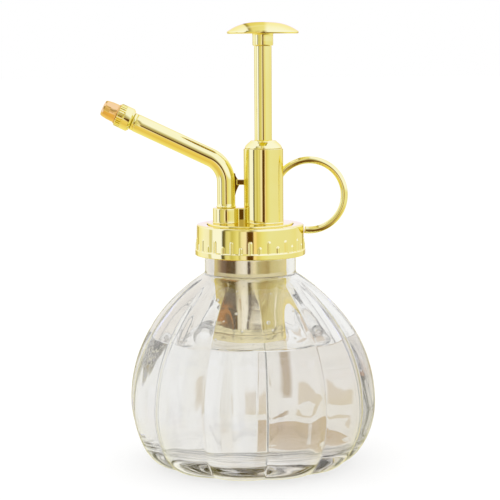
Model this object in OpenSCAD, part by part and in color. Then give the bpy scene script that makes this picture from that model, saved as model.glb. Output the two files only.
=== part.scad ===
// Hand mister: a fluted glass bottle closed by a screw collar, with a plated piston pump,
// a swept spout with a twist nozzle, and a finger ring.
// The frame: the origin is the centre of the foot's resting circle, +Z is up,
// the spout points to -X and the finger ring to +X. Millimetres.

/* [Bottle] */
// Radius of the body over the crests of its lobes, at the widest height
body_peak_r = 42.5; // [41:0.1:44]
// Height of the widest point above the resting plane
body_eq_z = 21.3; // [19:0.1:23]
// Height at which the shoulder meets the neck
neck_base_z = 66; // [65:0.1:67]
// How far the upper curve runs straight up before it turns in
shoulder_pull = 30.2; // [26:0.1:33]
// How far the lower curve runs straight down before it turns in
belly_pull = 8.1; // [6:0.1:10]
// How far the underside runs flat before it turns up
foot_pull = 7.3; // [5:0.1:9]
// Radius at which the underside begins
base_r = 30.2; // [29:0.1:31]
// How far the blown body sits off the neck's axis, towards +X
body_lean = 0.45; // [0:0.05:0.5]
// Number of lobes around the body
lobes = 12; // [10:1:14]
// Turn of the first crease from +X, degrees
crease_deg = 6.9; // [0:0.1:30]
// Radius of a lobe's own arc over the body's radius
lobe_arc = 0.41; // [0.38:0.01:0.45]
// Wall thickness of the glass in the body
wall = 2.6; // [2.2:0.1:3]
// Thickness of the glass floor in its middle
floor_t = 6.2; // [5:0.1:7]
// Outer radius of the resting foot
foot_r = 26.4; // [25:0.1:27]
// Inner radius of the resting foot, where the recess starts
recess_r = 21; // [19:0.1:22]
// Depth of the recess under the bottle
recess_h = 2.6; // [1.5:0.1:3]
// Outer radius of the plain neck
neck_r = 15.63; // [15.6:0.01:15.7]
// Radius of the neck's bore
neck_bore_r = 13.2; // [13.1:0.05:13.4]
// Height of the neck's rim
rim_z = 79; // [78.8:0.1:79.2]

/* [Neck thread] */
// Rise of the neck thread in one turn
neck_pitch = 3.175; // [3.1:0.005:3.2]
// Radius of the neck at the root of its thread
neck_root_r = 15.25; // [15.2:0.01:15.3]
// Radius over the neck thread's crest
neck_crest_r = 16.4; // [16.3:0.01:16.45]
// Turn of the neck thread, degrees
neck_turn = 375; // [345:15:375]

/* [Collar] */
// Height of the collar's lower edge
collar_z = 72.5; // [72.4:0.1:72.6]
// Height of the collar's top
collar_top_z = 82.9; // [82.8:0.05:82.95]
// Radius of the collar under its top edge
collar_r = 18.3; // [18.2:0.05:18.4]
// Radius of the band around the collar's lower edge
band_r = 18.92; // [18.85:0.01:19]
// Radius of the collar's bore
collar_bore_r = 16.75; // [16.7:0.01:16.8]
// Radius of the opening in the collar's lip
lip_r = 14.75; // [14.7:0.01:14.8]
// Number of grip ribs, half of them tall
ribs = 36; // [24:2:40]
// Radius of one grip rib
rib_r = 0.54; // [0.45:0.01:0.56]

/* [Pump head] */
// Offset of the barrel's axis towards +X
barrel_x = 4.65; // [4.6:0.01:4.7]
// Outer radius of the barrel
barrel_r = 6.75; // [6.7:0.01:6.8]
// Height of the barrel's upper end
barrel_top_z = 108.7; // [108:0.1:109]
// Height of the round plateau that carries the barrel
plateau_z = 83.4; // [83.3:0.05:83.5]
// Radius of the plateau
plateau_r = 14.6; // [14.5:0.01:14.65]
// Offset of the spout boss towards -X
boss_x = 8.1; // [8:0.05:8.2]
// Radius of the spout boss
boss_r = 4.6; // [4.5:0.01:4.7]
// Height of the spout boss's top
boss_z = 88.5; // [88.2:0.1:88.6]
// Radius of the liner's bore
bore_r = 5; // [4.98:0.01:5.02]

/* [Plunger] */
// Radius of the plunger rod
rod_r = 2.96; // [2.94:0.01:2.98]
// Radius of the knob's rim
knob_r = 12.2; // [12:0.1:12.6]
// Height of the knob's rim
knob_rim_z = 147.8; // [147.7:0.1:147.9]
// Height of the knob's crown
knob_top_z = 151.5; // [151.2:0.1:152]
// Travel of the plunger
press = 28; // [26:1:28]
// Coils of the return spring
coils = 11.5; // [9.5:1:11.5]
// Radius of the spring's wire
wire_r = 0.4; // [0.35:0.01:0.42]

/* [Spout] */
// Outer radius of the spout tube
spout_r = 3.1; // [3.08:0.01:3.12]
// Inner radius of the spout tube
spout_bore_r = 2.3; // [2.2:0.05:2.35]
// Height at which the upright and the arm would meet
corner_z = 103.2; // [102:0.1:104]
// Rise of the arm above the horizontal, degrees
arm_deg = 25.3; // [24:0.1:27]
// Radius of the bend's centreline
bend_r = 9.4; // [9:0.1:9.8]
// Length of the arm from the corner to the tube's end
arm_len = 33.9; // [32:0.1:36]

/* [Nozzle] */
// Radius of the nut over its teeth
nut_r = 4.05; // [4:0.01:4.15]
// Teeth around the nut
teeth = 28; // [20:2:32]
// Rise of the nozzle thread in one turn
nozzle_pitch = 1; // [0.9:0.05:1.1]
// Radius of the spray hole
spray_r = 0.35; // [0.25:0.05:0.5]

/* [Finger ring] */
// Centre of the ring, towards +X
ring_x = 20.2; // [20:0.05:20.3]
// Centre of the ring, height
ring_z = 92.6; // [92.55:0.05:92.7]
// Radius of the ring's centreline
ring_r = 12; // [11.9:0.05:12.1]
// Radius of the ring's wire
ring_wire_r = 1.2; // [1.1:0.05:1.2]

/* [Hidden] */
$fn = 64;
e = 0.01;

gold = [0.90, 0.78, 0.36];
gold_deep = [0.85, 0.68, 0.28];
clear = [0.88, 0.92, 0.94, 0.45];
rubber = [0.12, 0.12, 0.13];
white = [0.93, 0.93, 0.91];
steel = [0.72, 0.73, 0.75];

flange_z0 = rim_z + 0.9;
flange_z1 = collar_top_z - 1.3;
lip_z = flange_z1 + 0.06;
bend_t = bend_r * tan((90 - arm_deg) / 2);

// ---------- helpers ----------
// A point of a cubic curve with four handles
function bez(p, t) = pow(1 - t, 3) * p[0] + 3 * pow(1 - t, 2) * t * p[1]
  + 3 * (1 - t) * t * t * p[2] + t * t * t * p[3];
// The body's profile over its lobe crests, [radius, height], from the underside to the neck
lower = [[base_r, 0.8], [base_r + foot_pull, 0.9], [body_peak_r, body_eq_z - belly_pull], [body_peak_r, body_eq_z]];
upper = [[body_peak_r, body_eq_z], [body_peak_r, body_eq_z + shoulder_pull],
  [neck_r + 0.8, neck_base_z - 0.85], [neck_r + 0.27, neck_base_z]];
profile = concat([for (i = [0 : 7]) bez(lower, i / 8)], [for (i = [0 : 14]) bez(upper, i / 14)]);
// How deep the creases are at a height: full on the body, none at the neck
function crease_w(z) = min(1, max(0, (neck_base_z - z) / 9));
// Radius of a lobed section over its crest radius, at an angle from +X
lobe_c = 1 - lobe_arc;
function lobe_f(a) = let (s = 360 / lobes, m = (a - crease_deg + 720) % s - s / 2)
  lobe_c * cos(m) + sqrt(lobe_arc * lobe_arc - pow(lobe_c * sin(m), 2));
function lobed(p, a) = p[0] * (1 - crease_w(p[1]) * (1 - lobe_f(a)));
cols = lobes * 6;
// Sideways shift of the body's axis at a height: none at the neck and the foot
function lean(z) = body_lean * min(1, max(0, (neck_base_z - z) / 22)) * min(1, 0.4 + z / 20);

// A closed skin through rings of points that all have n points
module skin(pts, rings, n) {
  polyhedron(points = pts, faces = concat(
    [[for (i = [0 : n - 1]) i]],
    [[for (i = [n - 1 : -1 : 0]) (rings - 1) * n + i]],
    [for (j = [0 : rings - 2], i = [0 : n - 1])
      [j * n + i, (j + 1) * n + i, (j + 1) * n + (i + 1) % n]],
    [for (j = [0 : rings - 2], i = [0 : n - 1])
      [j * n + i, (j + 1) * n + (i + 1) % n, j * n + (i + 1) % n]]));
}

// One thread ridge: from radius ra to radius rb, base and crest widths along Z, right-handed
module ridge(ra, rb, base, crest, pitch, turn, z0, a0, step = 15) {
  n = ceil(turn / step);
  skin([for (j = [0 : n]) let (a = a0 + turn * j / n, z = z0 + pitch * turn / 360 * j / n,
      k = min(1, min(j, n - j) / 2 + 0.15), r2 = ra + (rb - ra) * k)
    each [[ra * cos(a), ra * sin(a), z + base / 2], [r2 * cos(a), r2 * sin(a), z + crest / 2],
      [r2 * cos(a), r2 * sin(a), z - crest / 2], [ra * cos(a), ra * sin(a), z - base / 2]]],
    n + 1, 4);
}

// The same ridge inside a bore: rb is smaller than ra
module ridge_in(ra, rb, base, crest, pitch, turn, z0, a0, step = 15) {
  n = ceil(turn / step);
  skin([for (j = [0 : n]) let (a = a0 + turn * j / n, z = z0 + pitch * turn / 360 * j / n,
      k = min(1, min(j, n - j) / 2 + 0.15), r2 = ra + (rb - ra) * k)
    each [[ra * cos(a), ra * sin(a), z - base / 2], [r2 * cos(a), r2 * sin(a), z - crest / 2],
      [r2 * cos(a), r2 * sin(a), z + crest / 2], [ra * cos(a), ra * sin(a), z + base / 2]]],
    n + 1, 4);
}

// A tube between two heights
module ring(ro, ri, z0, z1) translate([0, 0, z0]) rotate_extrude()
  polygon([[ri, 0], [ro, 0], [ro, z1 - z0], [ri, z1 - z0]]);

// Turn a child that stands on the arm's axis (+Z along the arm, zero at the corner) into place
module on_arm() translate([-boss_x, 0, corner_z]) rotate([0, arm_deg - 90, 0]) children();

// ---------- bottle ----------
module glass_bottle() color(clear) {
  rise = [for (p = profile) if (p[1] > floor_t + 5 && p[1] < neck_base_z - 3) [p[0] * 0.965 - wall, p[1] - 0.6]];
  sr = (recess_r * recess_r + recess_h * recess_h) / (2 * recess_h);
  difference() {
    union() {
      skin([for (p = profile, i = [0 : cols - 1]) let (a = crease_deg + 360 * i / cols, r = lobed(p, a))
        [r * cos(a) + lean(p[1]), r * sin(a), p[1]]], len(profile), cols);
      cylinder(r = foot_r, h = 3);
      translate([0, 0, 55]) cylinder(r = neck_r, h = 72.2 - 55);
      translate([0, 0, 56]) cylinder(r = neck_root_r, h = rim_z - 56);
      ridge(neck_root_r - 0.4, neck_crest_r, 2.1, 1, neck_pitch, neck_turn, 74.3, 0);
    }
    rotate_extrude() polygon(concat(
      [[0, floor_t], [13, floor_t + 0.2], [24, floor_t + 1.1], [rise[0][0] - 3.2, floor_t + 2.9]],
      rise,
      [[neck_bore_r, neck_base_z - 0.9], [neck_bore_r, rim_z + 1], [0, rim_z + 1]]));
    translate([0, 0, recess_h - sr]) sphere(r = sr);
  }
}

module screw_collar() color(gold) {
  difference() {
    union() {
      rotate_extrude() polygon([[0, collar_z], [band_r - 0.25, collar_z], [band_r, collar_z + 0.25],
        [band_r, collar_z + 1.6], [band_r - 0.3, collar_z + 2], [collar_r + 0.2, collar_z + 2.05],
        [collar_r, collar_top_z - 0.75], [collar_r - 0.2, collar_top_z - 0.25],
        [collar_r - 0.65, collar_top_z], [0, collar_top_z]]);
      for (i = [0 : ribs - 1]) rotate(-90 + i * 360 / ribs) translate([collar_r - 0.12, 0, collar_z + 1.8])
        rotate_extrude() polygon(let (h = i % 2 == 0 ? 4.3 : 2.5)
          [[0, 0], [rib_r, 0], [rib_r, h - 0.45], [rib_r * 0.6, h], [0, h]]);
    }
    translate([0, 0, collar_z - 1]) cylinder(r = collar_bore_r, h = lip_z - collar_z + 1);
    translate([0, 0, collar_z - 1]) cylinder(r = lip_r, h = 20);
  }
  ridge_in(collar_bore_r + 0.4, neck_root_r + 0.4, 2.1, 0.9, neck_pitch, 360, 74.3 - neck_pitch / 2 + neck_pitch / 3, 120);
}

// ---------- pump head ----------
module neck_gasket() color(rubber) ring(15.1, 12.6, rim_z + 0.02, flange_z0);

module pump_head() color(gold) difference() {
  union() {
    translate([0, 0, flange_z0]) cylinder(r = 15.9, h = flange_z1 - flange_z0);
    rotate_extrude() polygon([[0, flange_z0 + 0.5], [plateau_r, flange_z0 + 0.5], [plateau_r, plateau_z - 0.3],
      [plateau_r - 0.3, plateau_z], [0, plateau_z]]);
    translate([0, 0, 74]) cylinder(r = 11.38, h = 6.5);
    translate([barrel_x, 0, plateau_z - 1]) cylinder(r = barrel_r, h = barrel_top_z - plateau_z + 1);
    translate([-boss_x, 0, plateau_z - 1]) rotate_extrude() polygon([[0, 0], [boss_r, 0],
      [boss_r, boss_z - plateau_z + 0.7], [boss_r - 0.3, boss_z - plateau_z + 1], [0, boss_z - plateau_z + 1]]);
    translate([-boss_x, -2.3, plateau_z - 1]) cube([boss_x + barrel_x, 4.6, boss_z - plateau_z + 0.95]);
  }
  // bore for the liner
  translate([barrel_x, 0, 70]) cylinder(r = 5.62, h = 45);
  // hole for the riser tube, then the seat, the ball chamber and the spout's socket
  translate([-boss_x, 0, 73]) cylinder(r = 2.05, h = 8);
  translate([-boss_x, 0, 80]) cylinder(r = 2.35, h = 7);
  translate([-boss_x, 0, 86.6]) cylinder(r = spout_r + 0.03, h = 4);
  translate([-boss_x, 0, 87]) cylinder(r = 3.72, h = 0.8);
  // socket for the finger ring's upper end
  translate([ring_x, 0, ring_z]) rotate([90, 0, 0]) rotate([0, 0, 126]) rotate_extrude(angle = 12)
    translate([ring_r, 0]) circle(r = ring_wire_r + 0.03);
}

module barrel_cap() color(gold) translate([barrel_x, 0, 0]) rotate_extrude() polygon([
  [rod_r + 0.05, 107.3], [5.55, 107.3], [5.55, barrel_top_z + 0.01], [barrel_r - 0.37, barrel_top_z + 0.01],
  [barrel_r - 0.4, barrel_top_z + 0.35], [barrel_r - 0.8, barrel_top_z + 1.1], [barrel_r - 1.6, barrel_top_z + 1.9],
  [4.6, barrel_top_z + 2.3], [4.5, barrel_top_z + 2.55], [4.05, barrel_top_z + 2.8], [rod_r + 0.05, barrel_top_z + 2.85]]);

module rod_seal() color(rubber) translate([barrel_x, 0, 0]) ring(4.9, rod_r + 0.02, 105.7, 107.25);

module cylinder_liner() color(steel) translate([barrel_x, 0, 0]) ring(5.58, bore_r, 59.52, 107.25);

module return_spring() color(steel) translate([barrel_x, 0, 0]) {
  z0 = 58.05 + wire_r;
  z1 = 99.4 - wire_r;
  n = round(coils * 14);
  m = 5;
  skin([for (j = [0 : n], i = [0 : m - 1]) let (a = 360 * coils * j / n, b = 360 * i / m,
      t = max(0, min(1, (j / n * coils - 1) / (coils - 2))), z = z0 + 2 * wire_r * min(1, j / n * coils)
        + (z1 - z0 - 4 * wire_r) * t + 2 * wire_r * max(0, j / n * coils - coils + 1), r = 4.15 + wire_r * cos(b))
    [r * cos(a), r * sin(a), z - wire_r * 0.95 * sin(b)]], n + 1, m);
}

module inner_housing() color(gold_deep) ring(12.4, 11.4, 45.9, flange_z0 - 0.01);

module housing_end_cap() color(gold) difference() {
  rotate_extrude() polygon([[0, 42.4], [11.9, 42.4], [12.4, 42.9], [12.4, 45.88], [11.35, 45.88], [11.35, 46.95], [0, 46.95]]);
  translate([barrel_x, 0, 40]) cylinder(r = 2.6, h = 10);
}

module valve_body() color(white) difference() {
  translate([0, 0, 47]) cylinder(r = 11.35, h = 15);
  // dip tube socket, inlet way, ball chamber, cage recess, chamber floor, liner recess
  translate([barrel_x, 0, 46]) cylinder(r = 2.55, h = 5);
  translate([barrel_x, 0, 50]) cylinder(r = 1.2, h = 4);
  translate([barrel_x, 0, 52.6]) cylinder(r = 2.3, h = 6);
  translate([barrel_x, 0, 57.35]) cylinder(r = 3.45, h = 2);
  translate([barrel_x, 0, 58]) cylinder(r = 5, h = 5);
  translate([barrel_x, 0, 59.5]) cylinder(r = 5.62, h = 5);
  // gallery to the riser, and the riser's socket
  translate([barrel_x, 0, 58.75]) rotate([0, -90, 0]) cylinder(r = 0.7, h = barrel_x + boss_x);
  translate([-boss_x, 0, 57.9]) cylinder(r = 1.2, h = 3);
  translate([-boss_x, 0, 59.8]) cylinder(r = 2.05, h = 4);
}

module inlet_ball() color(steel) translate([barrel_x, 0, 54.1]) sphere(r = 1.9);

module inlet_cage() color(white) translate([barrel_x, 0, 57.4]) difference() {
  cylinder(r = 3.42, h = 0.55);
  for (i = [0 : 2]) rotate(120 * i) translate([1.5, 0, -1]) cylinder(r = 0.65, h = 3);
}

module dip_tube() color(clear) difference() {
  translate([barrel_x, 0, 0]) ring(2.5, 1.7, floor_t + 1.3, 50.98);
  translate([barrel_x, 0, floor_t + 3.3]) rotate([0, 30, 0]) translate([-6, -6, -10]) cube([12, 12, 10]);
}

module riser_tube() color(white) translate([-boss_x, 0, 0]) ring(2, 1.2, 59.82, 79.97);

module outlet_seat() color(white) translate([-boss_x, 0, 0]) ring(2.32, 1, 80.02, 82);

module outlet_ball() color(steel) translate([-boss_x, 0, 83.14]) sphere(r = 1.5);

module outlet_cage() color(white) translate([-boss_x, 0, 86]) difference() {
  cylinder(r = 2.32, h = 0.55);
  for (i = [0 : 2]) rotate(120 * i) translate([1.1, 0, -1]) cylinder(r = 0.5, h = 3);
}

// ---------- spout and nozzle ----------
// The swept path as one rod of a given radius, lengthened by ext at both ends
module swept(r, ext) {
  translate([-boss_x, 0, 86.62 - ext]) cylinder(r = r, h = corner_z - bend_t - 86.62 + ext);
  translate([-boss_x - bend_r, 0, corner_z - bend_t]) rotate([90, 0, 0]) rotate_extrude(angle = 90 - arm_deg)
    translate([bend_r, 0]) circle(r = r);
  // the arm is drawn a hair thinner than the bend and starts a little inside it
  on_arm() translate([0, 0, bend_t - 0.3]) cylinder(r = r - 0.02, h = arm_len - bend_t + 0.3 + ext);
}

module spout_tube() color(gold) difference() {
  swept(spout_r, 0);
  swept(spout_bore_r, 1);
}

module spout_seal() color(rubber) translate([-boss_x, 0, 0]) ring(3.7, spout_r + 0.02, 87.02, 87.78);

module spout_brace() color(gold) difference() {
  union() {
    translate([-boss_x, -1.5, 96.3]) cube([boss_x + barrel_x - 4, 3, 1.9]);
    translate([-boss_x, 0, 0]) rotate([90, 0, 0]) translate([0, 0, -0.95]) linear_extrude(height = 1.9)
      polygon([[2, 92.8], [spout_r + 0.1, 92.8], [spout_r + 0.5, 94.4], [spout_r + 1.5, 96.5], [spout_r + 1.45, 97.9],
        [spout_r + 0.55, 98.75], [spout_r + 0.1, 99.4], [2, 99.4]]);
  }
  translate([-boss_x, 0, 90]) cylinder(r = spout_r + 0.02, h = 12);
  translate([-boss_x - 4, -5, 90]) cube([4, 10, 12]);
  translate([barrel_x, 0, 90]) cylinder(r = barrel_r + 0.02, h = 12);
}

module spout_end_fitting() color(gold) on_arm() {
  difference() {
    union() {
      translate([0, 0, arm_len - 3]) cylinder(r = spout_bore_r - 0.05, h = 4);
      translate([0, 0, arm_len + 0.01]) cylinder(r = spout_r - 0.05, h = 1.1);
      translate([0, 0, arm_len + 0.5]) cylinder(r = 2.35, h = 5);
    }
    translate([0, 0, arm_len - 4]) cylinder(r = 1.3, h = 12);
  }
  ridge(2.2, 2.62, 0.5, 0.12, nozzle_pitch, 990, arm_len + 1.7, 0, 22.5);
}

module swirl_core() color(white) on_arm() difference() {
  union() {
    translate([0, 0, arm_len + 2]) cylinder(r = 1.25, h = 3.6);
    translate([0, 0, arm_len + 5.52]) cylinder(r = 1.9, h = 1);
  }
  for (i = [0 : 2]) rotate(120 * i) translate([1.25, 0, arm_len + 1]) cylinder(r = 0.4, h = 6);
}

module nozzle_gasket() color(rubber) on_arm() ring(3.05, 2.45, arm_len + 5.7, arm_len + 6.35);

module nozzle_nut() color(gold) on_arm() {
  difference() {
    union() {
      rotate_extrude() polygon([[0, arm_len + 1.2], [nut_r - 0.75, arm_len + 1.2], [nut_r, arm_len + 2],
        [nut_r, arm_len + 4.2], [nut_r - 0.35, arm_len + 4.5], [nut_r - 0.35, arm_len + 6.7], [0, arm_len + 6.7]]);
      for (i = [0 : teeth - 1]) rotate(i * 360 / teeth) translate([0, -0.22, arm_len + 4.1])
        cube([nut_r - 0.03, 0.44, 2.45]);
    }
    translate([0, 0, arm_len]) cylinder(r = 2.85, h = 8);
    translate([0, 0, arm_len + 5.4]) cylinder(r = 3.1, h = 2);
  }
  ridge_in(3.1, 2.46, 0.42, 0.12, nozzle_pitch, 990, arm_len + 2.2, 0, 22.5);
}

module nozzle_tip() color(gold_deep) on_arm() difference() {
  rotate_extrude() polygon([[0, arm_len + 6.72], [3.5, arm_len + 6.72], [3.5, arm_len + 7], [3.15, arm_len + 7.2],
    [3.1, arm_len + 9.5], [2.85, arm_len + 11.4], [2.5, arm_len + 11.95], [1.9, arm_len + 12.15], [0, arm_len + 12.15]]);
  rotate_extrude() polygon([[0, arm_len + 6], [2.2, arm_len + 6], [2.2, arm_len + 9.4], [0.9, arm_len + 11.2], [0, arm_len + 11.2]]);
  translate([0, 0, arm_len + 10]) cylinder(r = spray_r, h = 4);
}

// ---------- finger ring ----------
module finger_ring() color(gold) translate([ring_x, 0, ring_z]) rotate([90, 0, 0]) rotate([0, 0, -97.6])
  rotate_extrude(angle = 97.6 + 137.6) translate([ring_r, 0]) circle(r = ring_wire_r);

// ---------- plunger ----------
module knob() color(gold) translate([barrel_x, 0, 0]) difference() {
  union() {
    rotate_extrude() polygon(concat(
      [[0, knob_rim_z - 0.35], [4, knob_rim_z - 0.5], [knob_r - 0.5, knob_rim_z - 0.5], [knob_r - 0.12, knob_rim_z - 0.25],
       [knob_r, knob_rim_z + 0.1], [knob_r - 0.12, knob_rim_z + 0.5]],
      [for (i = [1 : 10]) let (u = 1 - i / 10) [(knob_r - 0.12) * u, knob_top_z - (knob_top_z - knob_rim_z - 0.5) * pow(u, 2.8)]]));
    rotate_extrude() polygon([[0, 143.3], [3.2, 143.3], [3.5, 143.6], [3.5, 147.45], [0, 147.45]]);
  }
  translate([0, 0, 140]) cylinder(r = rod_r - 0.58, h = 9);
}

module plunger_rod() color(gold) translate([barrel_x, 0, 0]) union() {
  translate([0, 0, 104.5]) cylinder(r = rod_r, h = 143.28 - 104.5);
  translate([0, 0, 96.9]) cylinder(r = 1.5, h = 10);
  translate([0, 0, 142]) cylinder(r = rod_r - 0.6, h = 6.9);
}

module piston() color(white) translate([barrel_x, 0, 0]) rotate_extrude() polygon([
  [1.53, 99.45], [4.6, 99.45], [4.9, 99.7], [4.9, 100.9], [3.6, 100.9], [3.6, 102.9], [4.9, 102.9],
  [4.9, 104.2], [4.6, 104.48], [1.53, 104.48]]);

module piston_seal() color(rubber) translate([barrel_x, 0, 0]) ring(bore_r - 0.03, 3.62, 101, 102.8);

module piston_nut() color(steel) translate([barrel_x, 0, 97.1]) difference() {
  cylinder(r = 3.1, h = 2.3, $fn = 6);
  translate([0, 0, -1]) cylinder(r = 1.53, h = 5);
}

glass_bottle();
screw_collar();
neck_gasket();
pump_head();
barrel_cap();
rod_seal();
cylinder_liner();
return_spring();
inner_housing();
housing_end_cap();
valve_body();
inlet_ball();
inlet_cage();
dip_tube();
riser_tube();
outlet_seat();
outlet_ball();
outlet_cage();
spout_tube();
spout_seal();
spout_brace();
spout_end_fitting();
swirl_core();
nozzle_gasket();
nozzle_nut();
nozzle_tip();
finger_ring();
knob();
plunger_rod();
piston();
piston_seal();
piston_nut();
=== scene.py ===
import bpy, math, random
import numpy as np
from mathutils import Vector, Matrix


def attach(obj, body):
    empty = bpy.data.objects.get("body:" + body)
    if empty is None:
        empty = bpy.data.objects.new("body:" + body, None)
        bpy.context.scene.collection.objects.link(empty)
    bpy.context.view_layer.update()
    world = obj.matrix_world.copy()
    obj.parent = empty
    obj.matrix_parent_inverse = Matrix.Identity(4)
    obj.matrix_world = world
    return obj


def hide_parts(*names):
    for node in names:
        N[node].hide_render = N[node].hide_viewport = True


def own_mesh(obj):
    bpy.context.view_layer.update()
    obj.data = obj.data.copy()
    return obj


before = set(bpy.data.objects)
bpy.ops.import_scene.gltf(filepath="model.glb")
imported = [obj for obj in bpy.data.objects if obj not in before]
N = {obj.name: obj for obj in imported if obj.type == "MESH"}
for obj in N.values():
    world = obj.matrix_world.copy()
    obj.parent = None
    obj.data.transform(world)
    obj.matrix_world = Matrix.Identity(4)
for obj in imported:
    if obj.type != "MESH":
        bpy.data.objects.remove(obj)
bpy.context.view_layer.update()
MM = 0.001
rad, deg = math.radians, math.degrees

# ---------------------------------------------------------------- dimensions (mm), as in the CAD frame
BX = 4.65            # barrel axis
SX = -8.1            # spout boss axis
ARM = 25.3           # arm rise
CORNER = 103.2
BEND = 9.4
ARM_LEN = 33.9
BEND_T = BEND * math.tan(rad((90 - ARM) / 2))
PEAK_R, EQ_Z, NECK_Z, NECK_R = 42.5, 21.3, 66.0, 15.63
WATER_Z = 43.3
CREASE = 6.9
LOBES = 12

# ================================================================ mesh helpers
def make(name, verts, faces, body, replaces=(), mat=None, sharp=None, scale=MM):
    me = bpy.data.meshes.new(name)
    me.from_pydata([tuple(float(c) * scale for c in v) for v in verts], [], [tuple(int(i) for i in f) for f in faces])
    me.validate()
    me.update()
    for p in me.polygons:
        p.use_smooth = True
    if sharp is not None:
        me.set_sharp_from_angle(angle=rad(sharp))
    ob = bpy.data.objects.new(name, me)
    bpy.context.scene.collection.objects.link(ob)
    if mat:
        me.materials.append(mat)
    if body:
        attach(ob, body)
    if replaces:
        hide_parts(*replaces)
    return ob


def arc(cx, cz, r, a0, a1, n):
    return [(cx + r * math.cos(rad(a0 + (a1 - a0) * i / n)), cz + r * math.sin(rad(a0 + (a1 - a0) * i / n))) for i in range(n + 1)]


def rounded(pts, seg=5):
    """A closed or open list of (x, y, fillet) corners, with every corner that has a fillet rounded."""
    out = []
    n = len(pts)
    for i, p in enumerate(pts):
        f = p[2] if len(p) > 2 else 0
        if not f or i in (0, n - 1) and False:
            out.append((p[0], p[1]))
            continue
        a, b = Vector(pts[i - 1][:2]), Vector(pts[(i + 1) % n][:2])
        c = Vector(p[:2])
        u, v = (a - c), (b - c)
        lu, lv = u.length, v.length
        u.normalize(); v.normalize()
        ang = math.acos(max(-1, min(1, u.dot(v))))
        if ang > math.pi - 0.02 or ang < 0.02:
            out.append((p[0], p[1]))
            continue
        t = min(f / math.tan(ang / 2), lu * 0.48, lv * 0.48)
        rr = t * math.tan(ang / 2)
        centre = c + (u + v).normalized() * (rr / math.sin(ang / 2))
        s, e = c + u * t - centre, c + v * t - centre
        a0, a1 = math.atan2(s.y, s.x), math.atan2(e.y, e.x)
        d = (a1 - a0 + math.pi) % (2 * math.pi) - math.pi
        for k in range(seg + 1):
            q = a0 + d * k / seg
            out.append((centre.x + rr * math.cos(q), centre.y + rr * math.sin(q)))
    return out


def dense(pts, step, closed=False):
    """More points along the straight runs, so that long faces stay even."""
    out = []
    m = len(pts) if closed else len(pts) - 1
    for i in range(m):
        a, b = pts[i], pts[(i + 1) % len(pts)]
        k = max(1, int(math.hypot(b[0] - a[0], b[1] - a[1]) / step))
        for j in range(k):
            out.append((a[0] + (b[0] - a[0]) * j / k, a[1] + (b[1] - a[1]) * j / k))
    if not closed:
        out.append(pts[-1])
    return out


def lathe(prof, n=128, closed=False, cx=0.0, disp=None, phase=0.0, angles=None):
    """Turns (r, z) points about the axis x = cx. An open profile must start and end on the axis; a closed one makes a ring.
    disp(i_profile, angle_deg, r, z) -> (r, z) moves each point."""
    verts, faces = [], []
    A = angles if angles is not None else [phase + 360 * i / n for i in range(n)]
    n = len(A)
    rows = []
    for k, (r, z) in enumerate(prof):
        if r < 1e-6 and not closed:
            rows.append([len(verts)])
            verts.append((cx, 0, z))
            continue
        row = []
        for a in A:
            rr, zz = (r, z) if disp is None else disp(k, a, r, z)
            row.append(len(verts))
            verts.append((cx + rr * math.cos(rad(a)), rr * math.sin(rad(a)), zz))
        rows.append(row)
    pairs = list(zip(rows[:-1], rows[1:]))
    if closed:
        pairs.append((rows[-1], rows[0]))
    for a, b in pairs:
        if len(a) == 1 and len(b) == 1:
            continue
        for i in range(n):
            j = (i + 1) % n
            if len(a) == 1:
                faces.append((a[0], b[j], b[i]))
            elif len(b) == 1:
                faces.append((a[i], a[j], b[0]))
            else:
                faces.append((a[i], a[j], b[j], b[i]))
    return verts, faces


def xf(verts, m):
    return [tuple(m @ Vector(v)) for v in verts]


ON_ARM = Matrix.Translation((SX, 0, CORNER)) @ Matrix.Rotation(rad(ARM - 90), 4, "Y")


def fix_normals(ob):
    import bmesh
    bm = bmesh.new()
    bm.from_mesh(ob.data)
    bmesh.ops.recalc_face_normals(bm, faces=bm.faces)
    bm.to_mesh(ob.data)
    bm.free()
    ob.data.update()


def sweep(path, frames, section, closed_section=True, caps=True):
    """path: points; frames: (u, v) unit vectors for each; section(i) -> list of (a, b) offsets."""
    verts, faces = [], []
    m = len(section(0))
    for i, (p, (u, v)) in enumerate(zip(path, frames)):
        for a, b in section(i):
            verts.append(tuple(Vector(p) + Vector(u) * a + Vector(v) * b))
    for i in range(len(path) - 1):
        for j in range(m):
            k = (j + 1) % m
            faces.append((i * m + j, i * m + k, (i + 1) * m + k, (i + 1) * m + j))
    if caps:
        faces.append(tuple(range(m))[::-1])
        faces.append(tuple((len(path) - 1) * m + j for j in range(m)))
    return verts, faces


# ================================================================ materials
def new_mat(name):
    m = bpy.data.materials.new(name)
    m.use_nodes = True
    nt = m.node_tree
    nt.nodes.clear()
    return m, nt


def node(nt, kind, **kw):
    n = nt.nodes.new(kind)
    for k, v in kw.items():
        if k.startswith("i_"):
            n.inputs[k[2:].replace("_", " ")].default_value = v
        else:
            setattr(n, k, v)
    return n


def link(nt, a, b):
    nt.links.new(a, b)


def ramp(nt, fac, stops, interp="LINEAR"):
    r = nt.nodes.new("ShaderNodeValToRGB")
    r.color_ramp.interpolation = interp
    els = r.color_ramp.elements
    while len(els) > 1:
        els.remove(els[-1])
    els[0].position = stops[0][0]
    els[0].color = (*stops[0][1], 1)
    for pos, col in stops[1:]:
        e = els.new(pos)
        e.color = (*col, 1)
    if fac is not None:
        link(nt, fac, r.inputs[0])
    return r


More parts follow.
